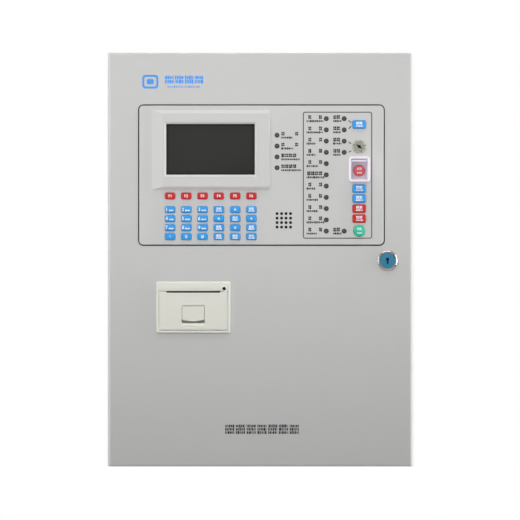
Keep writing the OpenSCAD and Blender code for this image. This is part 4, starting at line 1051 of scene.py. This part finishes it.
@dataclass
class Printer:
    """Moulded frame, tub, lamp and paper roll of the printer."""

    radius: float = 2.4
    wall: float = 3.2
    mouth_rim: float = 3.1
    head: float = 11.5
    lamp: Pair = (38.3, 8.4)  # from the frame's middle, from its top
    slot_reach: float = 33.1
    roll_y: float = 31.0
    roll_r: Pair = (6.0, 16.5)  # core, outside
    roll_reach: float = 28.5

    def build(self) -> None:
        """Makes every piece of the printer."""
        node = Extent.of("printer_frame")
        x, _, z = node.mid
        w, _, h = node.size
        y0, y1, door_front = node.low[1], node.high[1], Extent.of("door").low[1]
        low, top = z - h / 2 + self.mouth_rim, z + h / 2 - self.head
        mouth = (x, (low + top) / 2, w - 2 * self.mouth_rim, top - low, 1.0)
        tub_w, tub_h, tub_y = w - self.wall, h - self.wall, y1 - 1.5
        bezel = Shell().frame((x, z, w, h, self.radius), mouth, y0, door_front, 1.0)
        bezel.frame((x, z, tub_w, tub_h, 0.8), mouth, door_front - 0.05, tub_y, 0.05)
        bezel.slab(x, z, tub_w, tub_h, 0.8, tub_y, y1, 0.05)
        make_piece("printer_bezel", bezel, PRINTER_SHELL, "door", ("printer_frame",))
        lamp_x, lamp_z = x + self.lamp[0], z + h / 2 - self.lamp[1]
        lamp = Shell().lathe(lamp_x, lamp_z, ((2.3, 1), (2.3, -0.3), (1.7, -0.55), (0.4, -0.65)), y0, 5)
        make_piece("printer_lamp", lamp, DARK_SHADE_AND_LAMP, "door")
        halo = Shell().lathe(lamp_x, lamp_z, ((3.4, 0.5), (3.4, -0.2), (2.3, -0.2), (2.3, 0.5)), y0, 5, True)
        make_piece("printer_lamp_ring", halo, WHITE_RING, "door")
        self._rabbet(x, low, top, mouth[2], y0)
        self._slot(y0)
        self._roll(x, z, y0)

    def _rabbet(self, x: float, low: float, top: float, width: float, y0: float) -> None:
        """Narrow ledge in the gap at the hatch's sides and beside the paper slot."""
        ledge = Shell()
        front, back = y0 + 0.7, y0 + 2.6
        for side in (-1, 1):
            outer = x + side * width / 2
            for inner, foot in ((outer - side * 0.7, low), (x + side * 34.0, top - 0.9)):
                ledge.block((min(outer, inner), front, foot), (max(outer, inner), back, top), 0.1)
        make_piece("printer_rabbet", ledge, PRINTER_SHELL, "door")

    def _slot(self, y0: float) -> None:
        """Dark line of the paper slot above the hatch."""
        hatch = Extent.of("printer_door")
        x, z = float(hatch.mid[0]), hatch.high[2]
        slot = Shell().block((x - self.slot_reach, y0 + 1.2, z - 1.4),
                             (x + self.slot_reach, y0 + 2.9, z + 0.2), 0.1)
        make_piece("paper_slot_shade", slot, DARK_SHADE_AND_LAMP, "printer_hatch")

    def _roll(self, x: float, z: float, y0: float) -> None:
        """Roll of paper in the compartment, as a hollow cylinder along X."""
        angle = np.linspace(0, 2 * np.pi, 32, endpoint=False)
        core, rim = self.roll_r
        rings = [np.stack([np.full(32, x + side * self.roll_reach), y0 + self.roll_y + r * np.cos(angle),
                           z - 11.0 + r * np.sin(angle)], -1)
                 for side, r in ((-1, core), (-1, rim), (1, rim), (1, core))]
        make_piece("paper_roll", Shell().loft(rings, closed=True), PAPER, "door")


@dataclass
class CabinetInside:
    """Wiring, seals and small parts behind the door."""

    lip: float = -98.5
    entries: tuple[float, ...] = (-120.0, -40.0, 40.0, 120.0)
    terminal_y: float = -30.0
    board_t: float = 1.6
    terminal_count: int = 8
    terminal_side: float = 18.0
    # x, z, width, height and depth of parts, from the board's left edge and middle
    light_parts: tuple[tuple[float, ...], ...] = ((24, -14, 42, 10, 9),)
    dark_parts: tuple[tuple[float, ...], ...] = (
        *((x, 40, 18, 24, 16) for x in (22, 46, 70, 94)), (174, -52, 38, 32, 22), (96, -12, 26, 26, 2.5))

    def build(self) -> None:
        """Makes the foam, all wires, and the parts and tags on the boards and boxes."""
        self._foam()
        self._field_wires()
        self._leads()
        self._loom()
        self._panel_parts()
        self._board_parts()
        self._tags()
        self._small_parts()

    def _foam(self) -> None:
        """Foam strip on the cabinet's flange."""
        w, _, h = Extent.of("cabinet").size
        foam = Shell().frame((0, 0, w - 14, h - 14, 2), (0, 0, w - 24, h - 24, 2),
                             self.lip - 1.2, self.lip, 0.4)
        make_piece("door_foam", foam, FOAM, "cabinet")

    def _field_wires(self) -> None:
        """Wires from the cable entries to the main board's upper terminals."""
        board = Extent.of("main_board")
        red, black = Shell(), Shell()
        span = board.size[0] - 2 * self.terminal_side
        for i, x in enumerate(self.entries[:3]):
            for k in range(4):
                end_x = board.low[0] + self.terminal_side + span * (0.08 + 0.075 * (4 * i + k))
                wire = red if k % 2 else black
                wire.tube([(x + 2.4 * (k % 2) - 1.2, -45 + 2.4 * (k // 2), 253), (x, -47, 240),
                           ((x + end_x) / 2, -50 - k, 226), (end_x, -44, 213),
                           (end_x, self.terminal_y, board.high[2] - 1.0)], 1.0, 6)
        make_pieces("cabinet", "grommet_rubber", field_wires_red=(red, WIRE_RED),
                    field_wires_black=(black, WIRE_BLACK))

    def _leads(self) -> None:
        """Leads between the batteries, the power supply and the board, and the mains cable."""
        battery, supply = Extent.of("batteries"), Extent.of("power_supply")
        top, y, end_y = battery.high[2], battery.mid[1], self.terminal_y
        sx, sz = float(supply.low[0]), float(supply.low[2]) + 16
        red, black, grey = Shell(), Shell(), Shell()
        red.tube([(146, y, top - 1), (148, y - 4, top + 14), (120, y - 16, top + 40),
                  (sx + 24, -42, sz - 22), (sx + 22, end_y, sz)], 1.4)
        black.tube([(-146, y, top - 1), (-140, y - 5, top + 16), (-40, y - 20, top + 26),
                    (sx + 6, -44, sz - 24), (sx + 10, end_y, sz)], 1.4)
        black.tube([(15, y, top - 1), (8, y - 6, top + 12), (-8, y - 6, top + 12), (-15, y, top - 1)],
                   1.4, count=16)
        red.tube([(sx + 36, end_y, sz), (sx + 30, -46, sz - 26), (60, -44, sz - 20),
                  (40, -32, float(Extent.of("main_board").low[2]) + 3)], 1.2)
        grey.tube([(120, -45, 253), (124, -56, 236), (162, -56, 214), (163, -50, 120), (162, -48, 20),
                   (sx + 62, -44, sz - 20), (sx + 60, end_y, sz)], 3.0, 10, 44)
        make_pieces("cabinet", "grommet_rubber", battery_lead_red=(red, WIRE_RED),
                    battery_lead_black=(black, WIRE_BLACK), mains_cable=(grey, WIRE_GREY))

    def _loom(self) -> None:
        """Flexible loom from the main board to the door, which bends over the hinge."""
        loom = Shell()
        for k in range(5):
            off, fan = 2.0 * k, 2.0 * k / 3
            loom.tube([(-110 - off, self.terminal_y, 16), (-120 - off, -46, -2 - off),
                       (-150 - fan, -62, -30 - off / 2), (-166 - fan, -84, -44 - off),
                       (-167 - fan, -99, -38 - off), (-158 - fan, -107.5, -10 - off),
                       (-140 - off, -107.5, 24)], 1.0, 6, 40)
        make_piece("door_loom", loom, WIRE_BLACK, "cabinet",
                   blend=("door", (-0.167, -0.086, -0.04), (-0.167, -0.101, -0.04)))

    def _cover(self, shell: Shell, x: float, z: float, w: float, h: float, face: float, way: float) -> None:
        """Adds a box just larger than a part that stands on a board's face by a signed depth."""
        near, far = sorted((face, face + way + math.copysign(0.08, way)))
        shell.slab(x + w / 2, z + h / 2, w + 0.16, h + 0.16, 0.4, near, far, 0.05)

    def _board_parts(self) -> None:
        """Coloured covers over the main board's relays, capacitors and terminals."""
        board = Extent.of("main_board")
        left, mid, face = board.low[0], board.mid[2], board.high[1] - self.board_t
        plain, black, metal = Shell(), Shell(), Shell()
        for shell, parts in ((plain, self.light_parts), (black, self.dark_parts)):
            for x, z, w, h, deep in parts:
                self._cover(shell, left + x, mid + z, w, h, face, -deep)
        for i in range(3):
            x, z = left + 34 + i * 18, mid - 50
            black.lathe(x, z, ((6.1, 0), (6.1, -19.4), (5.7, -20.1)), face, 7)
            metal.lathe(x, z, ((5.2, -20.0), (5.2, -20.2)), face, 7)
        pitch = (board.size[0] - 2 * self.terminal_side) / self.terminal_count
        for side in (-1, 1):
            for i in range(self.terminal_count):
                x, z = left + self.terminal_side + i * pitch, mid + side * (board.size[2] / 2 - 10)
                self._cover(plain, x, z - 7, pitch - 1.5, 14, face, -14)
                metal.lathe(x + pitch / 2 - 0.75, z, ((2.6, -13.9), (2.6, -14.3), (1.2, -14.5)), face, 4)
        make_pieces("cabinet", "circuit_board", board_terminals=(plain, TERMINAL),
                    board_black_parts=(black, BLACK_PART), board_metal_parts=(metal, TINNED))

    def _panel_parts(self) -> None:
        """Covers over the sockets and chips on the back of the control board."""
        panel = Extent.of("control_board")
        sockets, chips = Shell(), Shell()
        back, z = panel.high[1] - 5, panel.mid[2] + 0.5
        for i in range(5):
            self._cover(sockets, 30 * i - 129, z - 70, 22, 8, back, 5)
        for i in range(3):
            self._cover(chips, 24 * i + 57, z - 40, 14, 14, back, 2)
        make_pieces("door", "circuit_board", panel_sockets=(sockets, TAG), panel_chips=(chips, BLACK_PART))

    def _tags(self) -> None:
        """Plain tags on the batteries and on the power supply."""
        battery, supply = Extent.of("batteries"), Extent.of("power_supply")
        tags = Shell()
        for x in (-80.5, 80.5):
            y = battery.low[1]
            tags.slab(x, battery.mid[2] + 2, 96, 44, 2, y - 0.1, y + 0.05, 0.03)
        y = supply.low[1]
        tags.slab(supply.mid[0], supply.high[2] - 20, 44, 12, 1, y - 0.1, y + 0.05, 0.03)
        make_piece("plain_tags", tags, TAG, "cabinet")

    def _small_parts(self) -> None:
        """Chip parts strewn over the upper half of the main board."""
        caps, count = Shell(), 70
        y = Extent.of("main_board").high[1] - self.board_t
        rng = np.random.default_rng(7)
        for x, z in zip(rng.uniform(-100, 60, count), rng.uniform(45, 140, count)):
            caps.block((x, y - 1.1, z), (x + 2.2, y, z + 1.3), 0.1)
        make_piece("small_components", caps, BLACK_PART, "cabinet")


# ---- Studio ----


@dataclass(frozen=True)
class Lamp:
    """Rectangular soft light, in metres and watts."""

    name: str
    place: Vec
    aim: Vec
    size: Pair
    power: float
    shine: bool = True  # also shows as a highlight

    def build(self) -> None:
        """Adds the light, which the camera doesn't see."""
        data = bpy.data.lights.new(self.name, "AREA")
        data.shape = "RECTANGLE"
        data.size, data.size_y = self.size
        data.energy = self.power
        light = bpy.data.objects.new(self.name, data)
        light.location = self.place
        way = np.array(self.aim) - np.array(self.place)
        light.rotation_euler = (math.atan2(math.hypot(way[0], way[1]), -way[2]), 0,
                                math.atan2(way[1], way[0]) - math.pi / 2)
        light.visible_camera = False
        light.visible_glossy = self.shine
        bpy.context.scene.collection.objects.link(light)


@dataclass
class Studio:
    """Camera, floor, soft lights and surroundings, in metres."""

    distance: float = 3.4
    width_at_front: float = 0.6457
    front_y: float = -0.12
    sensor: float = 36.0
    floor_z: float = -1.3
    floor_reach: float = 6.0
    lamps: tuple[Lamp, ...] = (
        Lamp("front_soft", (0, -0.72, 0.15), (0, -0.12, 0.15), (1.2, 0.2), 2.7, False),
        Lamp("key_soft", (-0.75, -1.25, 0.8), (0, -0.12, 0.05), (0.22, 0.22), 4.6, False),
        Lamp("top_soft", (0, -0.55, 1.3), (0, -0.1, 0.1), (1.4, 0.5), 7.8),
        Lamp("right_strip", (1.6, -0.2, 0.1), (0, -0.1, 0.0), (0.5, 1.6), 28.0),
        Lamp("left_strip", (-1.6, -0.2, 0.1), (0, -0.1, 0.0), (0.5, 1.6), 13.0),
        Lamp("rear_soft", (0.6, 1.8, 1.0), (0, 0, 0), (1.6, 1.0), 38.0))

    def build(self) -> None:
        """Makes the camera first, then the floor, the lights and the surroundings."""
        self._camera()
        scene = bpy.context.scene
        scene.view_settings.view_transform = "Standard"
        mesh = bpy.data.meshes.new("floor")
        r = self.floor_reach
        mesh.from_pydata([(x, y, self.floor_z) for x, y in ((-r, -r), (r, -r), (r, r), (-r, r))],
                         [], [(0, 1, 2, 3)])
        mesh.materials.append(self._floor_finish())
        floor = bpy.data.objects.new("floor", mesh)
        scene.collection.objects.link(floor)
        for lamp in self.lamps:
            lamp.build()
        self._world()

    def _camera(self) -> None:
        """Long lens that looks straight at the middle of the door."""
        data = bpy.data.cameras.new("front_camera")
        data.sensor_width = self.sensor
        data.lens = self.sensor * self.distance / self.width_at_front
        data.clip_end = 60
        camera = bpy.data.objects.new("front_camera", data)
        camera.location = (-0.0008, self.front_y - self.distance, -0.0004)
        camera.rotation_euler = (math.pi / 2, 0, 0)
        bpy.context.scene.collection.objects.link(camera)
        bpy.context.scene.camera = camera

    def _floor_finish(self) -> bpy.types.Material:
        """Pale floor that looks evenly lit and throws no light back at the object."""
        material = FLOOR.make()
        tree = material.node_tree
        shader = tree.nodes["Principled BSDF"]
        seen = add_node(tree, "LightPath").outputs["Is Camera Ray"]
        tree.links.new(seen, shader.inputs["Emission Strength"])
        shader.inputs["Emission Color"].default_value = linear(FLOOR_GLOW)
        return material

    def _world(self) -> None:
        """White behind the object, a faint white that lights it and a brighter one that it mirrors."""
        world = bpy.data.worlds.new("pale_surroundings")
        bpy.context.scene.world = world
        world.use_nodes = True
        tree = world.node_tree
        tree.nodes.clear()
        path = add_node(tree, "LightPath").outputs
        strength = add_node(tree, "MapRange", {"To Min": 0.02, "To Max": 0.45},
                            {"Value": path["Is Glossy Ray"]}).outputs["Result"]
        seen = add_node(tree, "Background", {"Color": (1, 1, 1, 1)})
        lit = add_node(tree, "Background", {"Color": (1, 1, 1, 1)}, {"Strength": strength})
        mix = add_node(tree, "MixShader", links={"Fac": path["Is Camera Ray"]})
        for i, node in ((1, lit), (2, seen)):
            tree.links.new(node.outputs["Background"], mix.inputs[i])
        add_node(tree, "OutputWorld", links={"Surface": mix.outputs["Shader"]})


def main() -> None:
    """Builds the studio and every sub-assembly in order."""
    logging.basicConfig(level=logging.INFO, format="%(name)s %(message)s")
    for assembly in (Studio(), DressedFrame(), DoorMarks(), OperatorPanel(), Keys(), ResetGuard(), Locks(),
                     Printer(), CabinetInside()):
        LOG.info("building %s", type(assembly).__name__)
        assembly.build()


if __name__ == "__main__":
    main()
